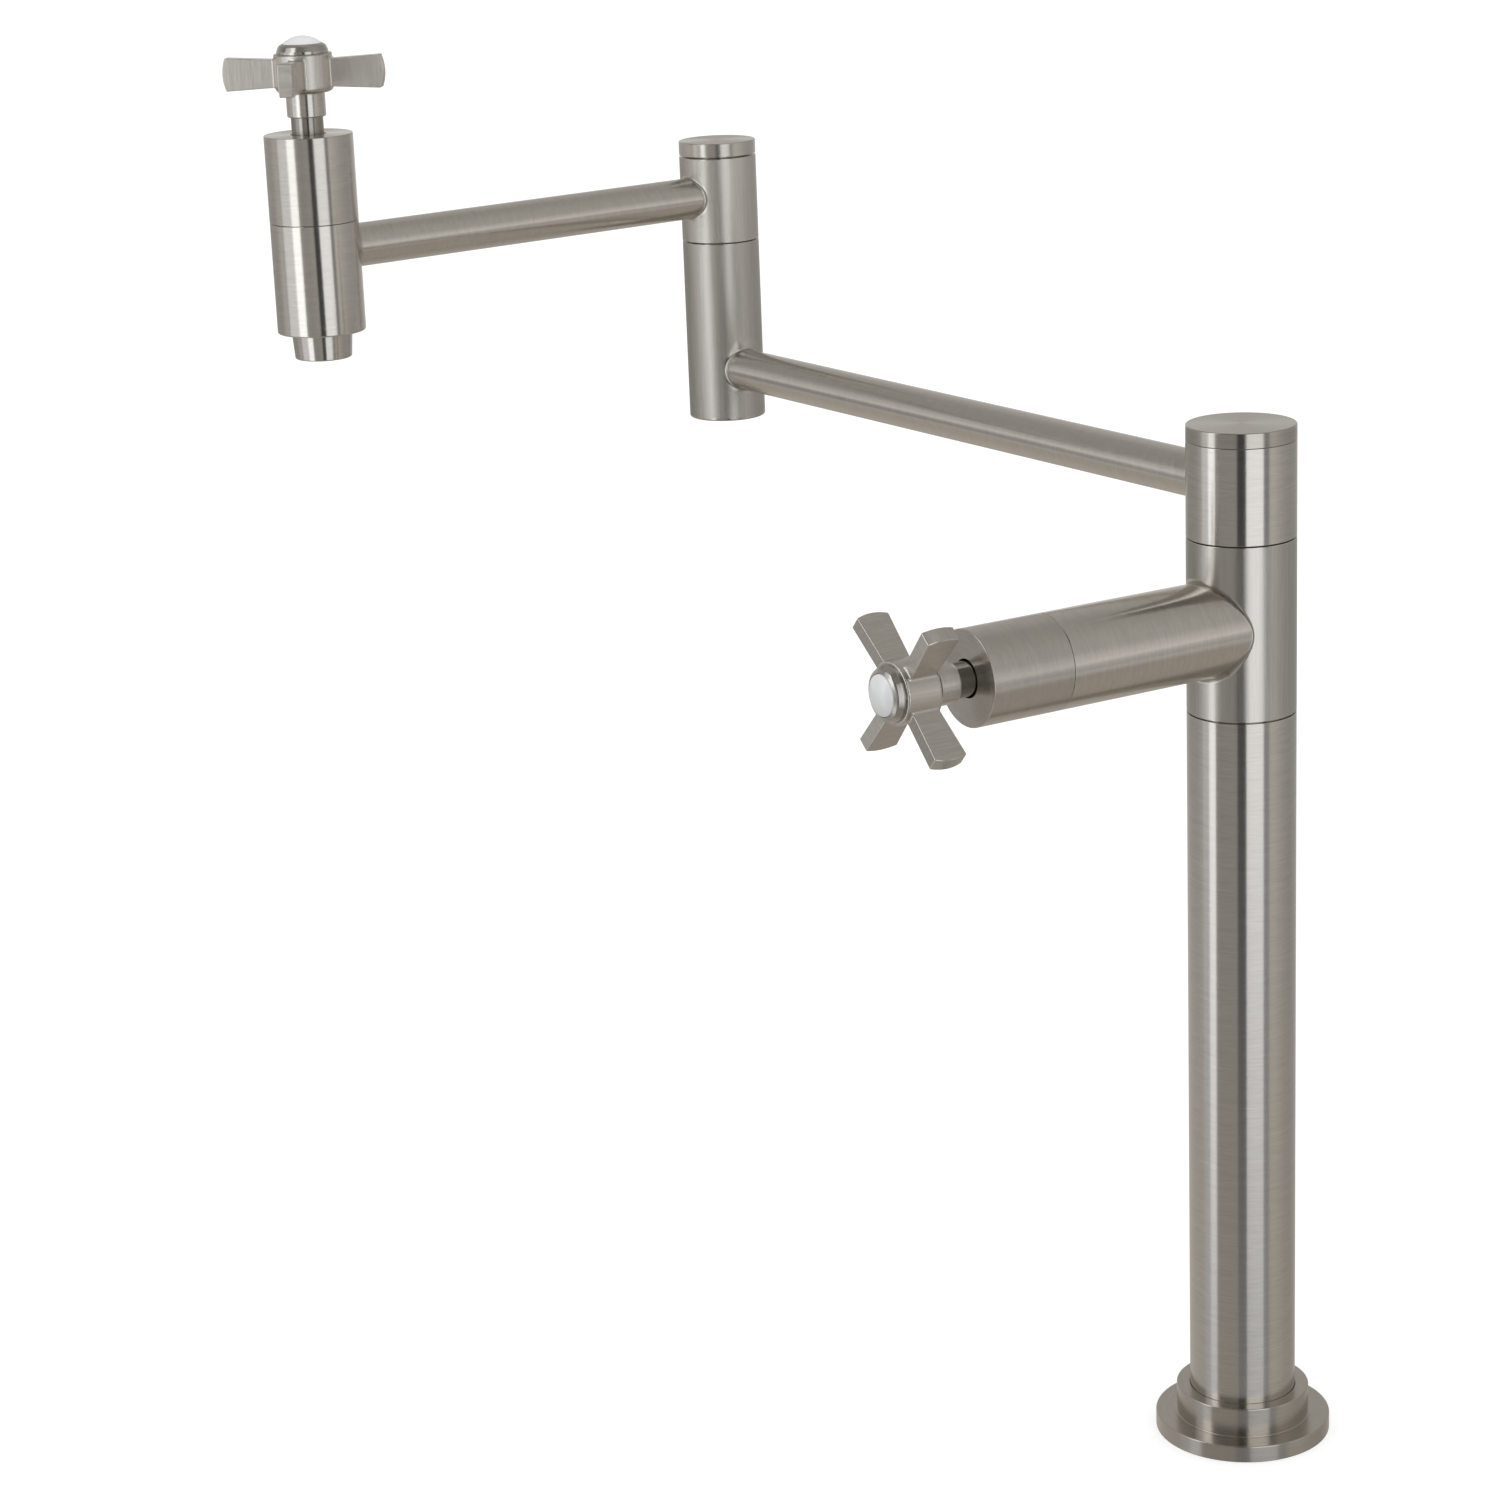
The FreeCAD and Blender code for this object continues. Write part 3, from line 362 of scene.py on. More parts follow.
nut = hexagon_nut(np.linspace(0, 2 * np.pi, NUT_STEPS + 1))
mesh_piece("Deck_Nut", nut, brass, "column", ["deck_nut"])
steel = plain_stuff(
    "Plain_Steel", (0.58, 0.575, 0.56), (0.50, 0.495, 0.48), rough=0.32, scale=150, metallic=1.0,
    grit=0.12)
dress(rubber, "deck_rubber_washer")
dress(steel, "deck_clamp_washer")


# Column: a drawn tube that stands in the flange, brushed round and plated.
# A plug brazed into its foot takes the shank; an O-ring seals the tee's spigot at its top.
COLUMN_BORE, COLUMN_JOINT, SEAM = 17.0, 273.2, 0.5
column = stepped(
    COLUMN_BORE, FOOT, (COLUMN_RADIUS, SEAM_EDGE), (COLUMN_JOINT - SEAM, SEAM_EDGE), COLUMN_BORE, closed=True)
mesh_piece("Column_Tube", [turned(column, COLUMN_AXES, ROUND)], brushed, "column", ["column_tube"])
dress(brass, "column_base_plug")
dress(rubber, "column_joint_o_ring")


# Tee body: a cast brass body that continues the column, with a side barrel that holds the column valve.
# The barrel meets the wall in a fine groove; a spigot below it stands in the column.
SIDE_STEPS, REST_STEPS = 24, 60
PATCH_ROWS, RIM_ROWS, BRANCH_ROWS = 11, 6, 3


def profile_at(profile, distance):
    """Radius, height and normal of a profile at distances along it, straight between its own points."""
    point, normal = profile
    r, h, nr, nh = (np.interp(distance, distance_along(point), part) for part in (*point.T, *normal.T))
    size = np.hypot(nr, nh)
    return r, h, nr / size, nh / size


def wall_grid(profile, angle, distance, axes):
    """Spots (angle, distance along the profile) of a turned wall as a grid."""
    r, h, nr, nh = profile_at(profile, distance)
    c, s = np.cos(angle), np.sin(angle)
    return in_place(
        axes, np.stack([r * c, r * s, h], -1), np.stack([nr * c, nr * s, nh], -1),
        np.stack([-nh * c, -nh * s, nr], -1), np.stack([distance, c, s], -1))


def ported_wall(profile, rim, span, axes, rest=True):
    """Turned wall with an opening: in the unrolled wall, straight lines lead from a rectangle to the rim.

    The rectangle reaches span to both sides and over the whole profile; plain wall closes the turn.
    """
    whole = distance_along(profile[0])[-1]
    step = np.linspace(0, 1, SIDE_STEPS + 1)
    flat = np.ones(SIDE_STEPS + 1)
    border = np.concatenate([
        np.stack([span * flat, whole * step], 1)[:-1],
        np.stack([span - 2 * span * step, whole * flat], 1)[:-1],
        np.stack([-span * flat, whole * (1 - step)], 1)[:-1],
        np.stack([2 * span * step - span, 0 * flat], 1),
    ])
    patch = border + (rim - border) * np.linspace(0, 1, PATCH_ROWS)[:, None, None]
    grids = [wall_grid(profile, patch[..., 0], patch[..., 1], axes)]
    if rest:
        angle, distance = np.meshgrid(np.linspace(span, 2 * np.pi - span, REST_STEPS + 1), whole * step)
        grids.append(wall_grid(profile, angle, distance, axes))
    return grids


def brushed_lengthwise(grids):
    """The same wall with its brushing along the axis: the lay runs round, and the grain is long and thin."""
    fine, uneven, long = 9.0, 1.1, 0.02
    return [
        (p, n, np.cross(n, t), np.stack([fine * g[..., 1], uneven * fine * g[..., 2], long * g[..., 0]], -1))
        for p, n, t, g in grids
    ]


def faced_inwards(grids):
    """The same grids seen from their other side."""
    return [(p[::-1], -n[::-1], t[::-1], g[::-1]) for p, n, t, g in grids]


def wall_angles(span):
    """Angles round a wall with one opening that match the border of its rectangle."""
    opening = np.linspace(-span, span, SIDE_STEPS + 1)
    return np.r_[opening, np.linspace(span, 2 * np.pi - span, REST_STEPS + 1)[1:]]


def round_section(radius, profile, height, span):
    """Circle (side, height) of a branch, with its normals and angles.

    It starts at the lower right corner of its wall's rectangle, and each quarter faces one side of that.
    """
    r, low, high = profile[0][0, 0], profile[0][0, 1] - height, profile[0][-1, 1] - height
    lower, upper = np.arctan2(low, span * r), np.arctan2(high, span * r)
    corners = [lower, upper, np.pi - upper, np.pi - lower, lower + 2 * np.pi]
    t = np.interp(np.linspace(0, 4, 4 * SIDE_STEPS + 1), range(5), corners)
    normal = np.stack([np.cos(t), np.sin(t)], 1)
    return radius * normal, normal, t


def rim_of(profile, height, section):
    """Where an outline (side, height) meets a wall: rim in the unrolled wall, and distance from the axis."""
    distance = np.interp(height + section[:, 1], profile[0][:, 1], distance_along(profile[0]))
    r = profile_at(profile, distance)[0]
    angle = np.arcsin(section[:, 0] / r)
    return np.stack([angle, distance], 1), r * np.cos(angle)


def rounded_rim(profile, height, section, normal, depth, axes, groove=0.0):
    """Fillet round a branch: a quadratic curve from the wall over the meeting line to the branch.

    A groove pulls the curve's middle point into the wall. Returns the rim in the unrolled wall, the
    fillet's grid and how far out the branch begins.
    """
    wide = section + depth * normal
    rim, out = rim_of(profile, height, wide)
    _, meet = rim_of(profile, height, section)
    k = np.linspace(0, 1, RIM_ROWS)[:, None, None]
    start = np.column_stack([out, wide])
    corner = np.column_stack([meet - groove, section])
    end = np.column_stack([meet + depth, section])
    lift = np.array([0, 0, height])
    nr, nh = profile_at(profile, rim[:, 1])[2:]
    wall_normal = np.column_stack([nr * np.cos(rim[:, 0]), nr * np.sin(rim[:, 0]), nh])
    branch_normal = np.column_stack([0 * out, normal])
    n = (1 - k) * wall_normal + k * branch_normal
    n /= np.linalg.norm(n, axis=-1, keepdims=True)
    lay = (1 - k) * Z + k * X + 0 * n
    point = (1 - k) ** 2 * start + 2 * k * (1 - k) * corner + k ** 2 * end + lift
    if groove:
        n = surface_normals(point)
    grain = np.broadcast_to(np.column_stack([meet, normal]), point.shape)
    return rim, in_place(axes, point, n, lay, grain), meet + depth


def branch_grid(section, normal, near, far, height, facing, axes):
    """Straight branch side: the outline carried out from the distances near to the distances far.

    Facing is 1 for a branch that grows out and -1 for a hole that is bored in.
    """
    k = np.linspace(0, 1, BRANCH_ROWS)[:, None]
    out = near + (far - near) * k
    point = np.stack(np.broadcast_arrays(out, section[:, 0], section[:, 1] + height), -1)
    n = facing * np.broadcast_to(np.column_stack([0 * normal[:, 0], normal]), point.shape)
    grain = np.stack(np.broadcast_arrays(out, *normal.T), -1)
    return in_place(axes, point, n, 0 * point + X, grain)


def branch_axes(axes, height):
    """Axes of a branch at a height: its own third axis is the wall's first."""
    start, first, second, third = axes
    return np.array([start + height * third, second, third, first])


TEE_TOP, TEE_SPAN, WALL_BAND = 334.7, np.radians(80), 0.4
BARREL_RADIUS, BARREL_HEIGHT, BARREL_START, BARREL_SEAM = 16.7, 303.9, 22.0, 82.8
JOIN_WIDTH, JOIN_GROOVE = 0.3, 0.8
POCKET_RADIUS, POCKET_FLOOR = 13.0, 60.4
NECK_RADIUS, NECK_LENGTH = 15.0, 8.0
SPIGOT_RADIUS, SPIGOT_BORE, SPIGOT_BOTTOM, SPIGOT_ROOF = 16.95, 12.0, 259.2, 300.0
RING_GROOVE, RING_GROOVE_LOW, RING_GROOVE_HIGH = 14.9, 265.15, 267.25
POST_SOCKET, POST_DEPTH = 9.05, 14.0
TEE_WATERWAY, WATERWAY_FLOOR = 6.0, 312.0
TEE_AXES = np.array([0 * Z, -Y, X, Z])
cast_brushed = nickel_plate("Cast_Brushed_Nickel", NICKEL, rough=0.18, stretch=0.83, streak=0.05)
tee_wall = rounded([(COLUMN_RADIUS, COLUMN_JOINT + WALL_BAND), (COLUMN_RADIUS, TEE_TOP - WALL_BAND)])
section, normal, turn = round_section(BARREL_RADIUS, tee_wall, BARREL_HEIGHT, TEE_SPAN)
rim, join, near = rounded_rim(tee_wall, BARREL_HEIGHT, section, normal, JOIN_WIDTH, TEE_AXES, JOIN_GROOVE)
barrel = stepped(
    BARREL_RADIUS, BARREL_START, (BARREL_SEAM, CRISP), NECK_RADIUS, (BARREL_SEAM + NECK_LENGTH, EASED),
    (POCKET_RADIUS, CRISP), (POCKET_FLOOR, CRISP), 0, up_first=True)
spigot = stepped(
    0, SPIGOT_ROOF, (SPIGOT_BORE, CRISP), (SPIGOT_BOTTOM, CRISP), (SPIGOT_RADIUS, EASED),
    RING_GROOVE_LOW, RING_GROOVE, RING_GROOVE_HIGH, SPIGOT_RADIUS, COLUMN_JOINT, (COLUMN_RADIUS, CRISP),
    COLUMN_JOINT + WALL_BAND)
tee_top = stepped(
    COLUMN_RADIUS, TEE_TOP - WALL_BAND, (TEE_TOP, CRISP), POST_SOCKET, TEE_TOP - POST_DEPTH, TEE_WATERWAY,
    WATERWAY_FLOOR, 0, up_first=True)
tee_angles = wall_angles(TEE_SPAN)
mesh_piece("Valve_Body", [
    *brushed_lengthwise(ported_wall(tee_wall, rim, TEE_SPAN, TEE_AXES)),
    join,
    branch_grid(section, normal, near, BARREL_START, BARREL_HEIGHT, 1, TEE_AXES),
    turned(barrel, branch_axes(TEE_AXES, BARREL_HEIGHT), turn),
    turned(spigot, TEE_AXES, tee_angles),
    turned(tee_top, TEE_AXES, tee_angles),
], cast_brushed, "column", ["valve_body"])


# Valve sleeves: turned covers screwed over the two cartridges, with a hole in the end for the stem.
# Each valve has a brass cartridge with a seat seal and a pair of ceramic discs, which the sleeve hides.
SLEEVE_LENGTH, SLEEVE_GAP, SLEEVE_FIT, SLEEVE_EDGE = 32.6, 0.2, 0.05, 0.08
END_WALL, STEM_HOLE = 4.0, 6.6
LOWER_HEADING, LOWER_LENGTH = np.radians(182.2), 321.5
UPPER_HEADING, UPPER_LENGTH = np.radians(275.9), 189.7
SPOUT_SEAM = 433.8
COLUMN_HANDLE_TURN, SPOUT_HANDLE_TURN = np.radians(48.7), np.radians(52.0)
lower_way = np.array([np.cos(LOWER_HEADING), np.sin(LOWER_HEADING), 0])
upper_way = np.array([np.cos(UPPER_HEADING), np.sin(UPPER_HEADING), 0])
ELBOW = LOWER_LENGTH * lower_way
SPOUT = ELBOW + UPPER_LENGTH * upper_way
column_end = -Y * BARREL_SEAM + Z * BARREL_HEIGHT
spout_end = SPOUT + Z * SPOUT_SEAM
valves = {
    "column": (np.array([column_end, X, Z, -Y]), COLUMN_HANDLE_TURN, "column"),
    "spout": (np.array([spout_end, X, Y, Z]), SPOUT_HANDLE_TURN, "upper_arm"),
}
sleeve_brushed = nickel_plate(
    "Sleeve_Brushed_Nickel", (0.6, 0.565, 0.512), rough=0.22, stretch=0.83, streak=0.055)
ceramic = plain_stuff(
    "Disc_Ceramic", (0.86, 0.84, 0.79), (0.81, 0.79, 0.74), rough=0.22, scale=200, grit=0.05)
sleeve = stepped(
    NECK_RADIUS + SLEEVE_FIT, SLEEVE_GAP, (BARREL_RADIUS, SLEEVE_EDGE), (SLEEVE_LENGTH, EASED),
    (STEM_HOLE, EASED), (SLEEVE_LENGTH - END_WALL, CRISP), NECK_RADIUS + SLEEVE_FIT, closed=True)
for valve, (axes, _, body) in valves.items():
    mesh_piece(
        f"{valve.title()}_Valve_Sleeve", [turned(sleeve, axes, ROUND)], sleeve_brushed, body,
        [f"{valve}_valve_sleeve"])
    dress(brass, f"{valve}_valve_cartridge_body")
    dress(rubber, f"{valve}_valve_seat_seal", f"{valve}_valve_stem_o_ring")
    dress(ceramic, f"{valve}_valve_fixed_disc", f"{valve}_valve_moving_disc")


# Stems and cross handles: each handle is a cast brass hub with a skirt and four flat blades.
# The blades flare to convex tips, and a screw under the index button holds the hub on its stem.
# Hubs and blades are plated and brushed to a satin, and the stems are turned and polished.
STEM_RADIUS, STEM_LOW, DRIVE_RADIUS, DRIVE_TOP = 6.05, -14.9, 7.95, -12.4
STEM_GROOVE, STEM_GROOVE_LOW, STEM_GROOVE_HIGH = 4.4, -3.05, -1.35
SPLINE_RADIUS, SPLINE_LOW, SPLINE_HIGH = 4.0, 42.0, 54.0
SCREW_HOLE, SCREW_FLOOR = 2.05, 45.0
HUB_RADIUS, HUB_LOW, HUB_MIDDLE, HUB_HIGH = 10.9, 15.4, 22.6, 29.8
HUB_UNDERSIDE, HUB_LOW_EDGE, HUB_TOP_EDGE, HUB_RIM = 2.3, 2.2, 0.6, 1.0
RECESS_RADIUS, RECESS_FLOOR = 8.2, 23.8
SPLINE_HOLE, SPLINE_ROOF, STEM_SOCKET, SOCKET_ROOF = 4.05, 21.45, 6.1, 9.4
SKIRT_RADIUS, SKIRT_EDGE, HANDLE_GAP = 7.3, 0.6, 6.4
BLADE_HALF, BLADE_EDGE, BLADE_SPAN, ROOT_HALF, ROOT_FILLET = 2.65, 0.38, np.pi / 4, 5.2, 0.9
TIP, TIP_HALF, TIP_BULGE, TIP_EDGE = 29.3, 6.1, 1.2, 0.4
CORNER_STEPS, BLADE_ROWS, EDGE_ROWS, FACE_ROWS = 5, 6, 5, 8
BLADE_GRAIN = (0.8, 0.05, 0.05)
satin = nickel_plate("Satin_Nickel", NICKEL, rough=0.255, stretch=0.84, streak=0.07)
polished = nickel_plate("Polished_Nickel", (0.37, 0.346, 0.31), rough=0.18, stretch=0.4, streak=0.02)
stem = stepped(
    0, STEM_LOW, (DRIVE_RADIUS, CRISP), (DRIVE_TOP, CRISP), STEM_RADIUS, STEM_GROOVE_LOW, STEM_GROOVE,
    STEM_GROOVE_HIGH, STEM_RADIUS, (SPLINE_LOW, CRISP), SPLINE_RADIUS, (SPLINE_HIGH, CRISP), SCREW_HOLE,
    SCREW_FLOOR, 0)
hub_side = stepped(
    HUB_RADIUS - HUB_UNDERSIDE, HUB_LOW, (HUB_RADIUS, HUB_LOW_EDGE), (HUB_HIGH, HUB_TOP_EDGE),
    HUB_RADIUS - HUB_RIM)
hub_inside = stepped(
    HUB_RADIUS - HUB_RIM, HUB_HIGH, RECESS_RADIUS, RECESS_FLOOR, SCREW_HOLE, SPLINE_ROOF, SPLINE_HOLE,
    SOCKET_ROOF, STEM_SOCKET, (HANDLE_GAP, SEAM_EDGE), (SKIRT_RADIUS, SKIRT_EDGE), (HUB_LOW, RIM_EDGE),
    HUB_RADIUS - HUB_UNDERSIDE)


def blade_outline():
    """Rounded square walked from the middle of its lower right corner: arc centres (-1 to 1) and normals."""
    j = np.arange(SIDE_STEPS)
    bend = np.clip(j / CORNER_STEPS, 0, 1) + np.clip((j - SIDE_STEPS + CORNER_STEPS) / CORNER_STEPS, 0, 1) - 1
    run = 2 * np.clip((j - CORNER_STEPS) / (SIDE_STEPS - 2 * CORNER_STEPS), 0, 1) - 1
    one = np.ones(SIDE_STEPS)
    sides = (one, run), (-run, one), (-one, -run), (run, -one)
    square = np.concatenate([np.stack(side, 1) for side in sides])
    angle = np.radians((np.array([0, 90, 180, 270])[:, None] + 45 * bend).ravel())
    normal = np.stack([np.cos(angle), np.sin(angle)], 1)
    return np.vstack([square, square[:1]]), np.vstack([normal, normal[:1]])


def blade(axes):
    """One blade: a rounded outline grows along it, rolls over the tip's edge and closes on a convex face.

    The tip stands out by bulge x (1 - (height / half height) squared).
    """
    square, normal = blade_outline()
    section = square * (BLADE_HALF - BLADE_EDGE, ROOT_HALF - BLADE_EDGE) + BLADE_EDGE * normal
    rim, fillet, near = rounded_rim(hub_side, HUB_MIDDLE, section, normal, ROOT_FILLET, axes)
    grown = square * (BLADE_HALF - BLADE_EDGE, TIP_HALF - BLADE_EDGE)
    inner = grown + (BLADE_EDGE - TIP_EDGE) * normal
    far = TIP + TIP_BULGE * (1 - (inner[:, 1] / TIP_HALF) ** 2) - TIP_EDGE
    k = np.linspace(0, 1, BLADE_ROWS)[:, None]
    along = np.stack([
        near + (far - near) * k,
        section[:, 0] + 0 * k,
        section[:, 1] + (grown + BLADE_EDGE * normal - section)[:, 1] * k,
    ], -1)
    slope = (TIP_HALF - ROOT_HALF) / (TIP - HUB_RADIUS)
    along_normal = np.broadcast_to(np.column_stack([-slope * np.abs(normal[:, 1]), normal]), along.shape)
    roll = np.linspace(0, np.pi / 2, EDGE_ROWS)[:, None]
    edge = np.stack([
        far + TIP_EDGE * np.sin(roll),
        inner[:, 0] + TIP_EDGE * np.cos(roll) * normal[:, 0],
        inner[:, 1] + TIP_EDGE * np.cos(roll) * normal[:, 1],
    ], -1)
    lean = 2 * TIP_BULGE * inner[:, 1] / TIP_HALF ** 2
    edge_normal = np.stack([
        np.sin(roll) + 0 * far,
        np.cos(roll) * normal[:, 0],
        np.cos(roll) * normal[:, 1] + np.sin(roll) * lean,
    ], -1)
    shrink = np.linspace(1, 0, FACE_ROWS)[:, None]
    y, z = shrink * inner[:, 0], shrink * inner[:, 1]
    face = np.stack([TIP + TIP_BULGE * (1 - (z / TIP_HALF) ** 2), y, z], -1)
    face_normal = np.stack([1 + 0 * z, 0 * z, 2 * TIP_BULGE * z / TIP_HALF ** 2], -1)
    point = np.concatenate([along, edge[1:], face[1:]]) + (0, 0, HUB_MIDDLE)
    n = np.concatenate([along_normal, edge_normal[1:], face_normal[1:]])
    n = n / np.linalg.norm(n, axis=-1, keepdims=True)
    lay = np.concatenate([0 * along + X, 0 * edge[1:] + Y, 0 * face[1:] + Y])
    skin = in_place(axes, point, n, lay, point * BLADE_GRAIN)
    return [*brushed_lengthwise(ported_wall(hub_side, rim, BLADE_SPAN, axes, rest=False)), fillet, skin]


def turned_by(axes, angle):
    """Axes turned about their own third one."""
    start, first, second, third = axes
    c, s = np.cos(angle), np.sin(angle)
    return np.array([start, c * first + s * second, c * second - s * first, third])


def raised(axes, height):
    """Axes moved along their own third one."""
    start, first, second, third = axes
    return np.array([start + third * height, first, second, third])


HUB_ANGLES = np.linspace(-BLADE_SPAN, 7 * BLADE_SPAN, 4 * SIDE_STEPS + 1)
for valve, (axes, angle, _) in valves.items():
    mesh_piece(
        f"{valve.title()}_Valve_Stem", [turned(stem, axes, ROUND)], polished, f"{valve}_handle",
        [f"{valve}_valve_stem"])
    dress(steel, f"{valve}_valve_handle_screw")
    handle_axes = turned_by(raised(axes, SLEEVE_LENGTH), angle)
    handle = [turned(hub_inside, handle_axes, HUB_ANGLES)]
    for quarter in range(4):
        handle += blade(turned_by(handle_axes, quarter * np.pi / 2))
    mesh_piece(
        f"{valve.title()}_Cross_Handle", handle, satin, f"{valve}_handle", [f"{valve}_valve_cross_handle"])


# Index rings and buttons: a turned and plated ring is screwed into each hub, over the handle's screw.
# A domed button of white glazed porcelain is cemented in it.
RING_RADIUS, RING_BORE, RING_SPIGOT, RING_TOP, RING_FIT = 9.65, 5.5, 26.8, 33.5, 0.05
RING_SIDE, SIDE_CURVE, LIP_EDGE = 1.0, 0.8, 0.12
SHOULDER_RADIUS, SHOULDER_DROP, SHOULDER_CURVE = 8.8, 0.8, 1.2
BUTTON_RADIUS, BUTTON_FIT, BUTTON_SEAT, BUTTON_DOME = 7.2, 0.1, 31.3, 2.7
RIM_DROP, DOME_INSET, DOME_ROWS = 0.3, 0.2, 16
index_ring = rounded([
    (RING_BORE, RING_SPIGOT), (RECESS_RADIUS - RING_FIT, RING_SPIGOT, CRISP),
    (RECESS_RADIUS - RING_FIT, HUB_HIGH), (RING_RADIUS, HUB_HIGH, SEAM_EDGE),
    (RING_RADIUS, HUB_HIGH + RING_SIDE, SIDE_CURVE),
    (SHOULDER_RADIUS, RING_TOP - SHOULDER_DROP, SHOULDER_CURVE),
    (BUTTON_RADIUS + BUTTON_FIT, RING_TOP, LIP_EDGE), (BUTTON_RADIUS + BUTTON_FIT, BUTTON_SEAT),
    (RING_BORE, BUTTON_SEAT),
], closed=True)


def domed_button():
    """Button profile: a flat seat, a short rim and a spherical dome r = R sin t, h = R cos t."""
    seat, seat_normal = stepped(0, BUTTON_SEAT, (BUTTON_RADIUS, CRISP), RING_TOP - RIM_DROP)
    radius = (BUTTON_RADIUS ** 2 + BUTTON_DOME ** 2) / (2 * BUTTON_DOME)
    t = np.linspace(np.arcsin((BUTTON_RADIUS - DOME_INSET) / radius), 0, DOME_ROWS)
    normal = np.stack([np.sin(t), np.cos(t)], 1)
    point = radius * normal + (0, RING_TOP + BUTTON_DOME - radius)
    return np.vstack([seat, point]), np.vstack([seat_normal, normal])


GLAZE_LIGHT, GLAZE_DARK = (0.86, 0.865, 0.87, 1), (0.83, 0.835, 0.84, 1)
GLAZE_SMOOTH, GLAZE_DULL, GLAZE_SCALE = 0.07, 0.11, 180.0
porcelain, shader, add = new_material("White_Porcelain")
where = add("TexCoord")["Object"]
glaze = add("TexNoise", {"Vector": where, "Scale": GLAZE_SCALE, "Detail": 2.0})["Fac"]
white = blend(add, spread(add, glaze, 0.0, 1.0), GLAZE_LIGHT, GLAZE_DARK)
feed(shader, {"Base Color": white, "Roughness": spread(add, glaze, GLAZE_SMOOTH, GLAZE_DULL)})
button = domed_button()
ring_plate = nickel_plate("Ring_Nickel", (0.53, 0.5, 0.455), rough=0.2, stretch=0.4, streak=0.02)
for valve, (axes, _, _) in valves.items():
    end_axes = raised(axes, SLEEVE_LENGTH)
    mesh_piece(
        f"{valve.title()}_Index_Ring", [turned(index_ring, end_axes, ROUND)], ring_plate, f"{valve}_handle",
        [f"{valve}_valve_index_ring"])
    mesh_piece(
        f"{valve.title()}_Index_Button", [turned(button, end_axes, ROUND)], porcelain, f"{valve}_handle",
        [f"{valve}_valve_index_button"])


# Swivels: a turned head rides on a hollow brass post with two O-rings, a slip washer and a spring clip.
# Each head carries an arm that is brazed into a seat in its side, and a flat cap closes it.
ARM_RADIUS, ARM_BORE, ARM_FIT = 8.2, 6.6, 0.05
BRAZE, BRAZE_LIP, PORT_SPAN = 0.8, 0.08, np.radians(60)
PORT_ANGLES = wall_angles(PORT_SPAN)
SEAM_GAP, WASHER, WASHER_REACH = 0.4, 1.5, 5.8
POST_FIT, CHAMBER_REACH, CHAMBER_SPARE, SEAT_STEP = 0.05, 3.0, 1.0, 1.0
COUNTERBORE_DEPTH, COUNTERBORE_WALL = 4.2, 3.2
HEAD_BAND, CHAMBER_BAND = 0.5, 0.3
CAP_FIT, CAP_HOLLOW, CAP_EDGE, CAP_MIDDLE = 0.05, 1.65, 0.45, 0.3
slip = plain_stuff(
    "Slip_Plastic", (0.84, 0.83, 0.79), (0.79, 0.78, 0.74), rough=0.45, scale=250, grit=0.1)


def seated_body(outer, inner, height, seat_end, waterway, axes, profiles, finish=list):
    """Turned body with an arm seat: braze fillet and lip, bore, step and a waterway to the inner wall.

    The turned profiles close it above and below its ported walls.
    """
    section, normal, _ = round_section(ARM_RADIUS + ARM_FIT, outer, height, PORT_SPAN)
    lip = section + BRAZE_LIP * normal
    rim, braze, near = rounded_rim(outer, height, lip, normal, BRAZE, axes)
    small = normal * waterway
    inner_rim, meet = rim_of(inner, height, small)

    def flat_ring(out, wide, narrow):
        """Ring between two outlines at a distance from the axis, facing outwards."""
        k = np.linspace(0, 1, BRANCH_ROWS)[:, None, None]
        ring = wide + (narrow - wide) * k
        point = np.concatenate([np.broadcast_to(out, ring.shape[:2])[..., None], ring + (0, height)], -1)
        grain = np.broadcast_to(np.column_stack([section, 0 * near]), point.shape)
        return in_place(axes, point, 0 * point + X, 0 * point + Z, grain)

    return [
        braze,
        flat_ring(near, lip, section),
        branch_grid(section, normal, near, seat_end, height, -1, axes),
        flat_ring(seat_end, section, small),
        branch_grid(small, normal, seat_end, meet, height, -1, axes),
        *finish(ported_wall(outer, rim, PORT_SPAN, axes)),
        *faced_inwards(ported_wall(inner, inner_rim, PORT_SPAN, axes)),
        *(turned(profile, axes, PORT_ANGLES) for profile in profiles),
    ]


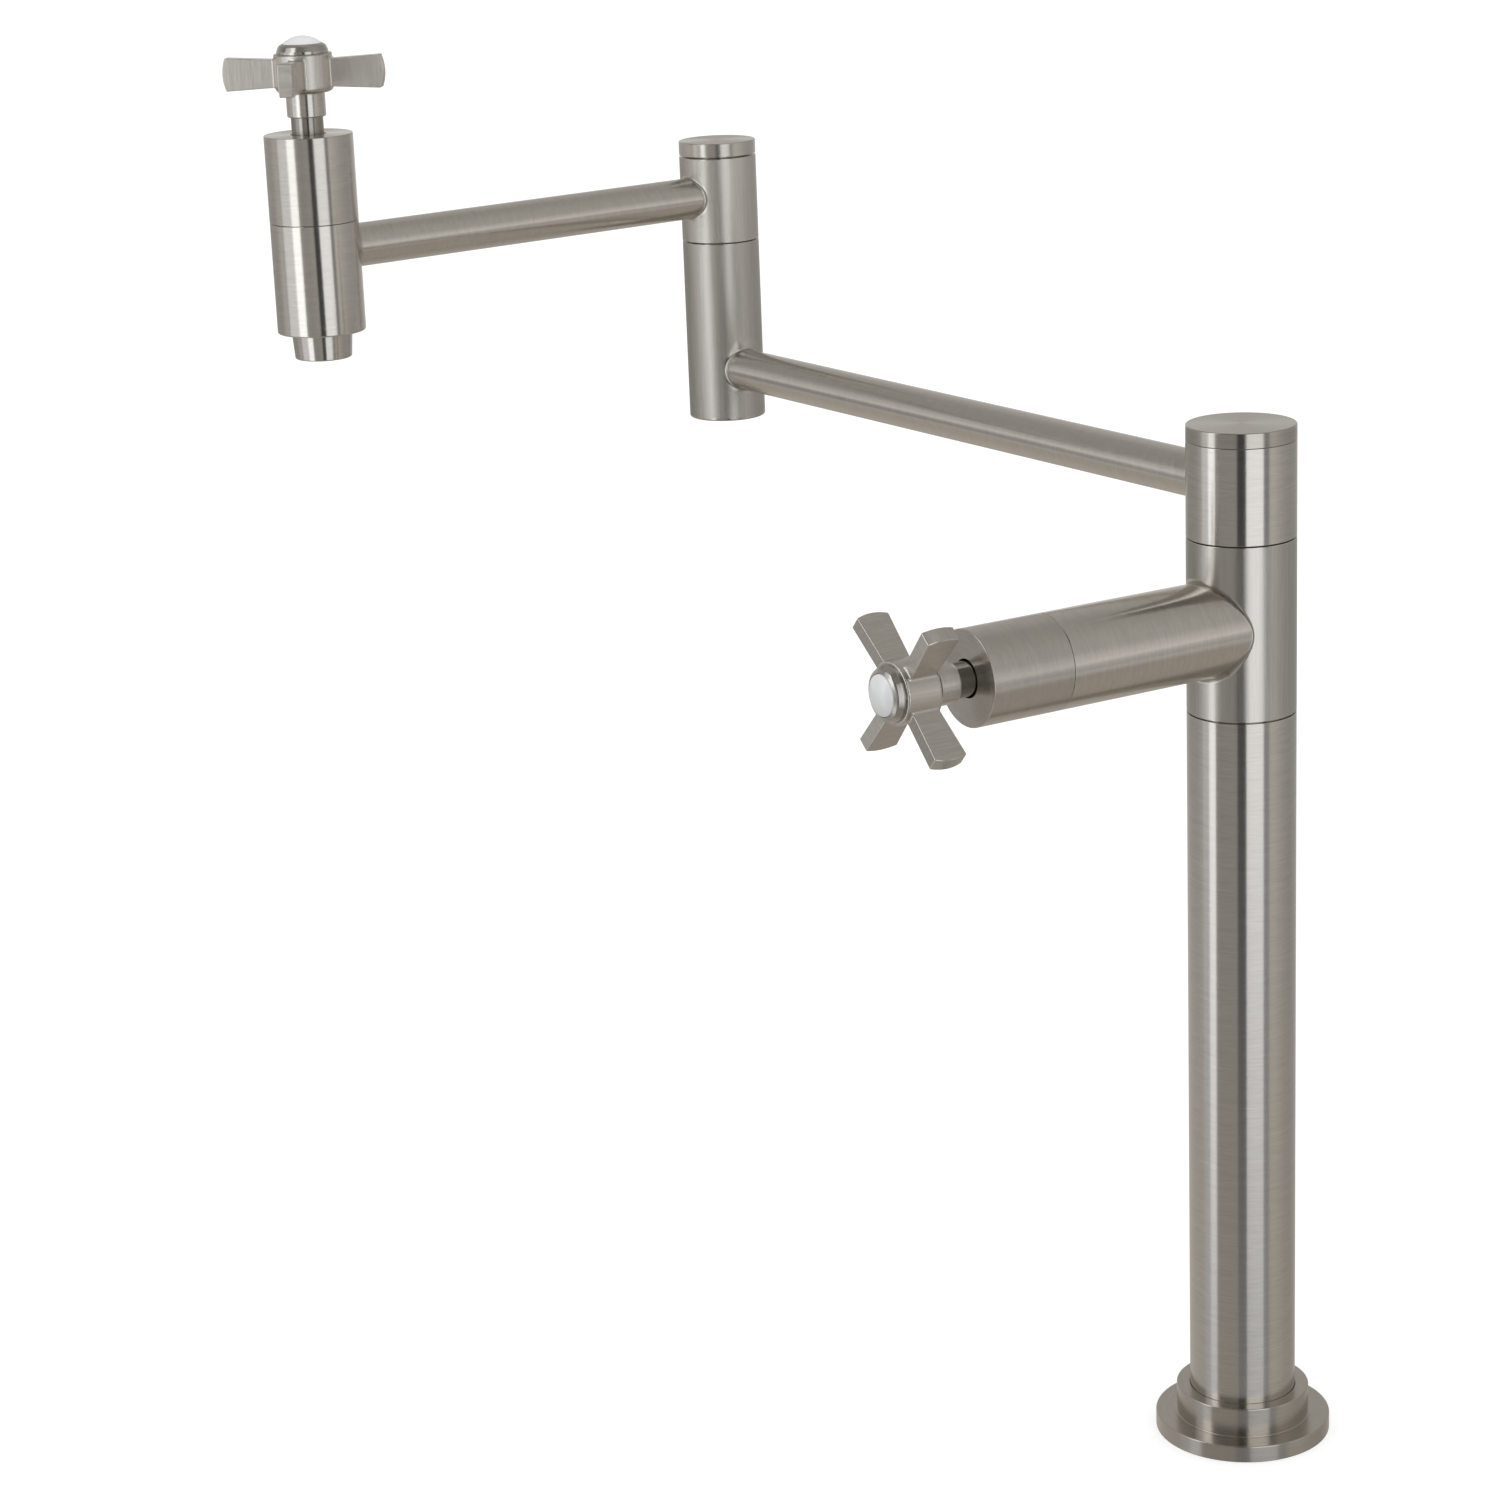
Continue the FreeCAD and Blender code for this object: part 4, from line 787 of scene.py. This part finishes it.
def swivel_head(
        name, axes, body, metal, cap_metal, radius, post, height, arm_rise, cap_gap, cap_height, finish=list):
    """One swivel above its seam: the head with its water chamber and arm seat, and the cap."""
    chamber, bore, recess = post + CHAMBER_REACH, post + POST_FIT, post + WASHER_REACH
    low, high = arm_rise - ARM_BORE - CHAMBER_SPARE, arm_rise + ARM_BORE + CHAMBER_SPARE
    floor, counterbore = height - COUNTERBORE_DEPTH, radius - COUNTERBORE_WALL
    outer = rounded([(radius, SEAM_GAP + HEAD_BAND), (radius, height - HEAD_BAND)])
    inner = rounded([(chamber, low + CHAMBER_BAND), (chamber, high - CHAMBER_BAND)])
    foot = stepped(
        chamber, low + CHAMBER_BAND, low, bore, WASHER, recess, SEAM_GAP, (radius, CRISP),
        SEAM_GAP + HEAD_BAND, up_first=True)
    top = stepped(
        radius, height - HEAD_BAND, (height, CRISP), counterbore, floor, bore, high, chamber,
        high - CHAMBER_BAND, up_first=True)
    head = seated_body(outer, inner, arm_rise, chamber + SEAT_STEP, ARM_BORE, axes, (foot, top), finish)
    mesh_piece(f"{name}_Head", head, metal, body, [f"{name.lower()}_head"])
    rim, cap_top = height + cap_gap, height + cap_gap + cap_height
    plug, hollow = counterbore - CAP_FIT, counterbore - CAP_HOLLOW
    cap = rounded([
        (0, rim), (hollow, rim), (hollow, floor), (plug, floor, CRISP), (plug, rim),
        (radius, rim, SEAM_EDGE), (radius, cap_top, CAP_EDGE), (CAP_MIDDLE, cap_top), (0, cap_top),
    ])
    cap_name = name.replace("_Swivel", "_Cap")
    mesh_piece(cap_name, [turned(cap, axes, ROUND)], cap_metal, body, [cap_name.lower()])
    for material, part in ((brass, "post"), (rubber, "o_rings"), (slip, "washer"), (steel, "clip")):
        dress(material, f"{name.lower()}_{part}")


def level_axes(start, way):
    """Upright axes at a place, with the first one along a level direction."""
    return np.array([start, way, np.cross(Z, way), Z])


ELBOW_RADIUS, ELBOW_SEAM = 15.5, 404.5
soft_brushed = nickel_plate("Soft_Brushed_Nickel", NICKEL, rough=0.31, stretch=0.8, streak=0.03)
head_brushed = nickel_plate("Head_Brushed_Nickel", NICKEL, rough=0.26, stretch=0.84, streak=0.05)
swivel_head(
    "Column_Swivel", level_axes(Z * TEE_TOP, lower_way), "lower_arm", brushed, darker_brushed,
    radius=COLUMN_RADIUS, post=9.0, height=33.9, arm_rise=17.9, cap_gap=0.1, cap_height=5.3)
swivel_head(
    "Elbow_Swivel", level_axes(ELBOW + Z * ELBOW_SEAM, upper_way), "upper_arm", head_brushed, soft_brushed,
    radius=ELBOW_RADIUS, post=7.5, height=34.2, arm_rise=18.1, cap_gap=0.7, cap_height=5.4,
    finish=brushed_lengthwise)


# Arms: two lengths of drawn brass tube, brushed round and nickel plated.
# Both ends of each are brazed into seats in the bodies that it joins.
LOWER_HEIGHT, UPPER_HEIGHT = 352.6, 422.6
COLUMN_SEAT, ELBOW_SEAT, HEAD_SEAT, SPOUT_SEAT = 13.0, 9.5, 11.5, 14.0


def arm(name, start, way, near, far, body):
    """Plain tube between two distances along a level direction."""
    tube = rounded([
        (ARM_BORE, near, CRISP), (ARM_RADIUS, near, CRISP),
        (ARM_RADIUS, far, CRISP), (ARM_BORE, far, CRISP),
    ], closed=True)
    axes = np.array([start, np.cross(Z, way), Z, way])
    mesh_piece(name, [turned(tube, axes, ROUND)], brushed, body, [name.lower()])


arm("Lower_Arm_Tube", Z * LOWER_HEIGHT, lower_way, COLUMN_SEAT, LOWER_LENGTH - ELBOW_SEAT, "lower_arm")
arm("Upper_Arm_Tube", ELBOW + Z * UPPER_HEIGHT, upper_way, HEAD_SEAT, UPPER_LENGTH - SPOUT_SEAT, "upper_arm")


# Elbow: a turned brass body on the lower arm's end, with a closed foot and a socket for the swivel's post.
# It is brushed lengthwise and plated, so the lights in it are soft.
ELBOW_BOTTOM, ELBOW_HEIGHT, ELBOW_DROP = 331.9, 72.6, 20.7
ELBOW_SOCKET, ELBOW_WATERWAY, FOOT_BAND, ELBOW_FOOT_EDGE = 7.55, 4.0, 1.5, 0.8
WELL_RADIUS, WELL_FLOOR, WELL_LOW, WELL_HIGH = 5.5, 13.1, 14.0, 30.0
long_brushed = nickel_plate(
    "Long_Brushed_Nickel", (0.575, 0.545, 0.495), rough=0.255, stretch=0.84, streak=0.05)
elbow_axes = level_axes(ELBOW + Z * ELBOW_BOTTOM, -lower_way)
outer = rounded([(ELBOW_RADIUS, FOOT_BAND), (ELBOW_RADIUS, ELBOW_HEIGHT - HEAD_BAND)])
inner = rounded([(WELL_RADIUS, WELL_LOW), (WELL_RADIUS, WELL_HIGH)])
elbow_foot = stepped(0, 0, (ELBOW_RADIUS, ELBOW_FOOT_EDGE), FOOT_BAND)
elbow_top = stepped(
    ELBOW_RADIUS, ELBOW_HEIGHT - HEAD_BAND, (ELBOW_HEIGHT, CRISP), ELBOW_SOCKET, ELBOW_HEIGHT - POST_DEPTH,
    WELL_RADIUS, WELL_HIGH, up_first=True)
well = stepped(WELL_RADIUS, WELL_LOW, WELL_FLOOR, 0, up_first=True)
elbow = seated_body(
    outer, inner, ELBOW_DROP, ELBOW_SEAT, ELBOW_WATERWAY, elbow_axes, (elbow_foot, elbow_top, well),
    brushed_lengthwise)
mesh_piece("Elbow_Lower_Body", elbow, long_brushed, "lower_arm", ["elbow_lower_body"])


# Spout: a turned brass body brazed on the upper arm's end, brushed round and nickel plated.
# The valve's pocket is bored into its top, and the nozzle screws into its foot.
SPOUT_HEIGHT, SPOUT_RISE, SPOUT_FOOT_EDGE = 41.7, 30.5, 0.7
SPOUT_BOTTOM = SPOUT_SEAM - SPOUT_HEIGHT
POCKET_LOW, POCKET_HIGH, SPOUT_FLOOR = 20.0, 42.0, 19.3
OUTLET_RADIUS, NOZZLE_SOCKET, SOCKET_DEPTH = 4.0, 10.05, 8.0
spout_axes = level_axes(SPOUT + Z * SPOUT_BOTTOM, -upper_way)
outer = rounded([(BARREL_RADIUS, FOOT_BAND), (BARREL_RADIUS, SPOUT_HEIGHT - HEAD_BAND)])
inner = rounded([(POCKET_RADIUS, POCKET_LOW), (POCKET_RADIUS, POCKET_HIGH)])
spout_foot = stepped(
    POCKET_RADIUS, POCKET_LOW, (SPOUT_FLOOR, CRISP), OUTLET_RADIUS, SOCKET_DEPTH, NOZZLE_SOCKET, (0, CRISP),
    (BARREL_RADIUS, SPOUT_FOOT_EDGE), FOOT_BAND, up_first=True)
spout_top = stepped(
    BARREL_RADIUS, SPOUT_HEIGHT - HEAD_BAND, (SPOUT_HEIGHT, CRISP), NECK_RADIUS,
    (SPOUT_HEIGHT + NECK_LENGTH, EASED), (POCKET_RADIUS, CRISP), POCKET_HIGH, up_first=True)
spout = seated_body(
    outer, inner, SPOUT_RISE, SPOUT_SEAT, ARM_BORE, spout_axes, (spout_foot, spout_top))
mesh_piece("Spout_Body", spout, brushed, "upper_arm", ["spout_body"])


# Nozzle: a tapered brass outlet, turned and plated, screwed into the spout's foot.
# It holds a drilled plastic aerator on a rubber washer.
NOZZLE_HEIGHT, NOZZLE_MOUTH, NOZZLE_END, NOZZLE_SHOULDER, NOZZLE_EDGE = 10.0, 7.7, 10.75, 11.5, 0.6
NOZZLE_THREAD, NOZZLE_TOP, AERATOR_BORE, AERATOR_SEAT = 10.0, 18.0, 8.55, 1.2
nozzle = rounded([
    (NOZZLE_MOUTH, 0, CRISP), (NOZZLE_END, 0, NOZZLE_EDGE), (NOZZLE_SHOULDER, NOZZLE_HEIGHT, SEAM_EDGE),
    (NOZZLE_THREAD, NOZZLE_HEIGHT), (NOZZLE_THREAD, NOZZLE_TOP, EASED),
    (AERATOR_BORE, NOZZLE_TOP), (AERATOR_BORE, AERATOR_SEAT),
    (NOZZLE_MOUTH, AERATOR_SEAT),
], closed=True)
nozzle_axes = level_axes(SPOUT + Z * (SPOUT_BOTTOM - NOZZLE_HEIGHT), upper_way)
mesh_piece("Spout_Nozzle", [turned(nozzle, nozzle_axes, ROUND)], brushed, "upper_arm", ["spout_nozzle"])
plastic = plain_stuff(
    "Aerator_Plastic", (0.80, 0.80, 0.78), (0.75, 0.75, 0.73), rough=0.4, scale=300, grit=0.08)
dress(plastic, "aerator_insert")
dress(rubber, "aerator_washer")


# Floor: a plain white matt studio floor, level with the worktop's face under the flange.
# It takes the soft shadow of the flange.
FLOOR_HALF, FLOOR_SCALE, FLOOR_GLOW = 9, 2.0, 0.62
FLOOR_GREY, FLOOR_PALE, WHITE = (0.5, 0.5, 0.5, 1), (0.51, 0.51, 0.51, 1), (1, 1, 1, 1)
floor_mesh = bpy.data.meshes.new("Floor")
floor_corners = [(x * FLOOR_HALF, y * FLOOR_HALF, 0) for x, y in ((-1, -1), (1, -1), (1, 1), (-1, 1))]
floor_mesh.from_pydata(floor_corners, [], [(0, 1, 2, 3)])
floor = placed("Floor", floor_mesh)
white_floor, _, add = new_material("White_Floor")
where = add("TexCoord")["Object"]
paper = add("TexNoise", {"Vector": where, "Scale": FLOOR_SCALE})["Fac"]
shade = blend(add, paper, FLOOR_GREY, FLOOR_PALE)
lit = add("BsdfDiffuse", {"Color": shade})[0]
glow = add("Emission", {"Color": WHITE, "Strength": FLOOR_GLOW})[0]
seen = add("LightPath")["Is Camera Ray"]
both = add("AddShader", {0: lit, 1: glow})[0]
plain = add("MixShader", {"Fac": seen, 1: lit, 2: both})[0]
feed(white_floor.node_tree.nodes["Material Output"], {"Surface": plain})
floor_mesh.materials.append(white_floor)
floor.visible_glossy = False


# Studio: a strip light with a dimmer edge on the left and a wide soft box on the right, brighter upwards.
# A dark card stands between them and a dark edge beyond the box.
# The room round them is grey: a table below, walls with a dimmer band low down, and a ceiling.
PANEL_LOW, PANEL_HIGH, LAMP_TINT = -900, 1300, (0.97, 1.0, 1.05)


def ramp(add, value, stops):
    """Piecewise straight graph through (value, level) stops, as a grey colour ramp."""
    low, high = stops[0][0], stops[-1][0]
    place = add("MapRange", {"Value": value, "From Min": low, "From Max": high})[0]
    colour = add("ValToRGB", {"Fac": place})["Color"]
    bar = colour.node.color_ramp.elements
    for spot, _ in stops[1:-1]:
        bar.new((spot - low) / (high - low))
    for element, (spot, level) in zip(bar, stops):
        element.position = (spot - low) / (high - low)
        element.color = (level, level, level, 1)
    return colour


def panel(name, near, far, stops):
    """Upright panel between two plan points, whose light follows the height by (height, level) stops."""
    mesh = bpy.data.meshes.new(name)
    corners = np.array([(*near, PANEL_LOW), (*far, PANEL_LOW), (*far, PANEL_HIGH), (*near, PANEL_HIGH)]) * MM
    mesh.from_pydata(corners.tolist(), [], [(0, 1, 2, 3)])
    material, _, add = new_material(name)
    height = add("SeparateXYZ", {0: add("TexCoord")["Object"]})["Z"]
    peak = max(level for _, level in stops)
    grey = ramp(add, height, [(spot * MM, level / peak) for spot, level in stops])
    light = add("Emission", {"Color": times(add, grey, LAMP_TINT), "Strength": peak})[0]
    feed(material.node_tree.nodes["Material Output"], {"Surface": light})
    mesh.materials.append(material)
    piece = placed(name, mesh)
    piece.visible_camera = piece.visible_shadow = piece.visible_diffuse = False


panel("Strip_Light", (-250, -700), (-46, -700), [
    (-600, 0.35), (-400, 0.52), (-300, 0.69), (-120, 1.08), (70, 1.33), (200, 1.38), (300, 1.65),
    (500, 1.75)])
panel("Strip_Edge", (-516, -700), (-250, -700), [
    (-600, 0.42), (-300, 0.5), (70, 0.62), (180, 0.72), (280, 0.88), (500, 0.9)])
panel("Soft_Box", (880, -480), (900, 124), [
    (-600, 0.32), (-480, 0.5), (-411, 0.64), (-211, 0.84), (4, 1.16), (150, 1.2), (500, 1.2)])
panel("Dark_Card", (640, -690), (870, -480), [
    (-600, 0.30), (-375, 0.22), (-180, 0.12), (24, 0.06), (170, 0.04), (500, 0.04)])
panel("Dark_Edge", (900, 124), (890, 330), [
    (-600, 0.34), (-250, 0.31), (0, 0.35), (110, 0.26), (500, 0.24)])

WALL_TINT, CEILING_TINT, TABLE_TINT = (1.428, 1.4, 1.365), (1.02, 1.0, 0.96), (1.07, 1.0, 0.91)
CEILING_STARTS, CEILING_FULL = 0.22, 0.42
TABLE_STARTS, TABLE_FULL = -0.34, -0.46
FILL_LIGHT = (0.95, 0.95, 0.95, 1)
world = bpy.data.worlds.new("Studio")
bpy.context.scene.world = world
world.use_nodes = True
add = node_tools(world)
ray = add("SeparateXYZ", {0: add("TexCoord")["Generated"]})
turn = add("Math", {0: ray["Y"], 1: ray["X"]}, operation="ARCTAN2")[0]
heading = add("Math", {0: turn}, operation="DEGREES")[0]
walls = ramp(add, heading, [
    (-180, 0.48), (-150, 0.45), (-127, 0.48), (-110, 0.40), (-88, 0.28), (-45, 0.29), (-10, 0.40), (14, 0.54),
    (32, 0.56), (46, 0.47), (62, 0.38), (80, 0.33), (108, 0.38), (135, 0.50), (152, 0.56), (165, 0.52),
    (180, 0.48)])
rise = ramp(add, ray["Z"], [
    (-1, 0.714), (-0.25, 0.714), (-0.12, 0.88), (-0.03, 1.0), (0.1, 0.86), (0.3, 0.70), (1, 0.70)])
walls = times(add, times(add, walls, rise), WALL_TINT)
dimmer = ramp(add, heading, [
    (-180, 0.56), (-165, 0.56), (-142, 0.60), (-125, 0.92), (-108, 1.0), (8, 1.0), (20, 0.88), (46, 0.81),
    (62, 0.88), (80, 0.93), (103, 0.84), (125, 0.9), (150, 0.95), (165, 0.75), (180, 0.56)])
low_band = ramp(add, ray["Z"], [(-1, 0), (-0.31, 0), (-0.25, 1), (-0.11, 1), (-0.06, 0), (1, 0)])
walls = blend(add, low_band, walls, times(add, walls, dimmer))
ceiling = ramp(add, heading, [
    (-180, 0.36), (-160, 0.35), (-140, 0.30), (-120, 0.2), (-60, 0.2), (0, 0.30), (35, 0.46), (70, 0.38),
    (115, 0.36), (150, 0.47), (175, 0.36), (180, 0.36)])
above = add("MapRange", {"Value": ray["Z"], "From Min": CEILING_STARTS, "From Max": CEILING_FULL})[0]
table = ramp(add, heading, [
    (-180, 0.48), (-140, 0.41), (-100, 0.34), (-60, 0.32), (-20, 0.31), (20, 0.33), (50, 0.38), (90, 0.34),
    (140, 0.43), (180, 0.48)])
below = add("MapRange", {"Value": ray["Z"], "From Min": TABLE_STARTS, "From Max": TABLE_FULL})[0]
room = blend(add, above, walls, times(add, ceiling, CEILING_TINT))
room = blend(add, below, room, times(add, table, TABLE_TINT))
path = add("LightPath")
mirrored = add(
    "Math", {0: path["Is Glossy Ray"], 1: path["Is Transmission Ray"]}, operation="MAXIMUM")[0]
lit = blend(add, mirrored, FILL_LIGHT, room)
shown = blend(add, path["Is Camera Ray"], lit, WHITE)
feed(world.node_tree.nodes["Background"], {"Color": shown})


# Camera: where the photographer stood, with a long lens and no shift.
# Its place and its turn were fitted to the edges of all the pieces together.
camera = bpy.data.cameras.new("Camera")
camera.lens, camera.sensor_width, camera.sensor_fit = 88.523, 36, "HORIZONTAL"
camera.clip_start, camera.clip_end = 0.05, 50
viewer = placed("Camera", camera)
right, up = (0.520475, 0.853015, -0.038355), (-0.218504, 0.176476, 0.959746)
back = (0.825446, -0.491143, 0.278239)
place = (0.972353, -0.777832, 0.622526)
viewer.matrix_world = Matrix([*zip(right, up, back, place), (0, 0, 0, 1)])
bpy.context.scene.camera = viewer
bpy.context.scene.view_settings.view_transform = "Standard"
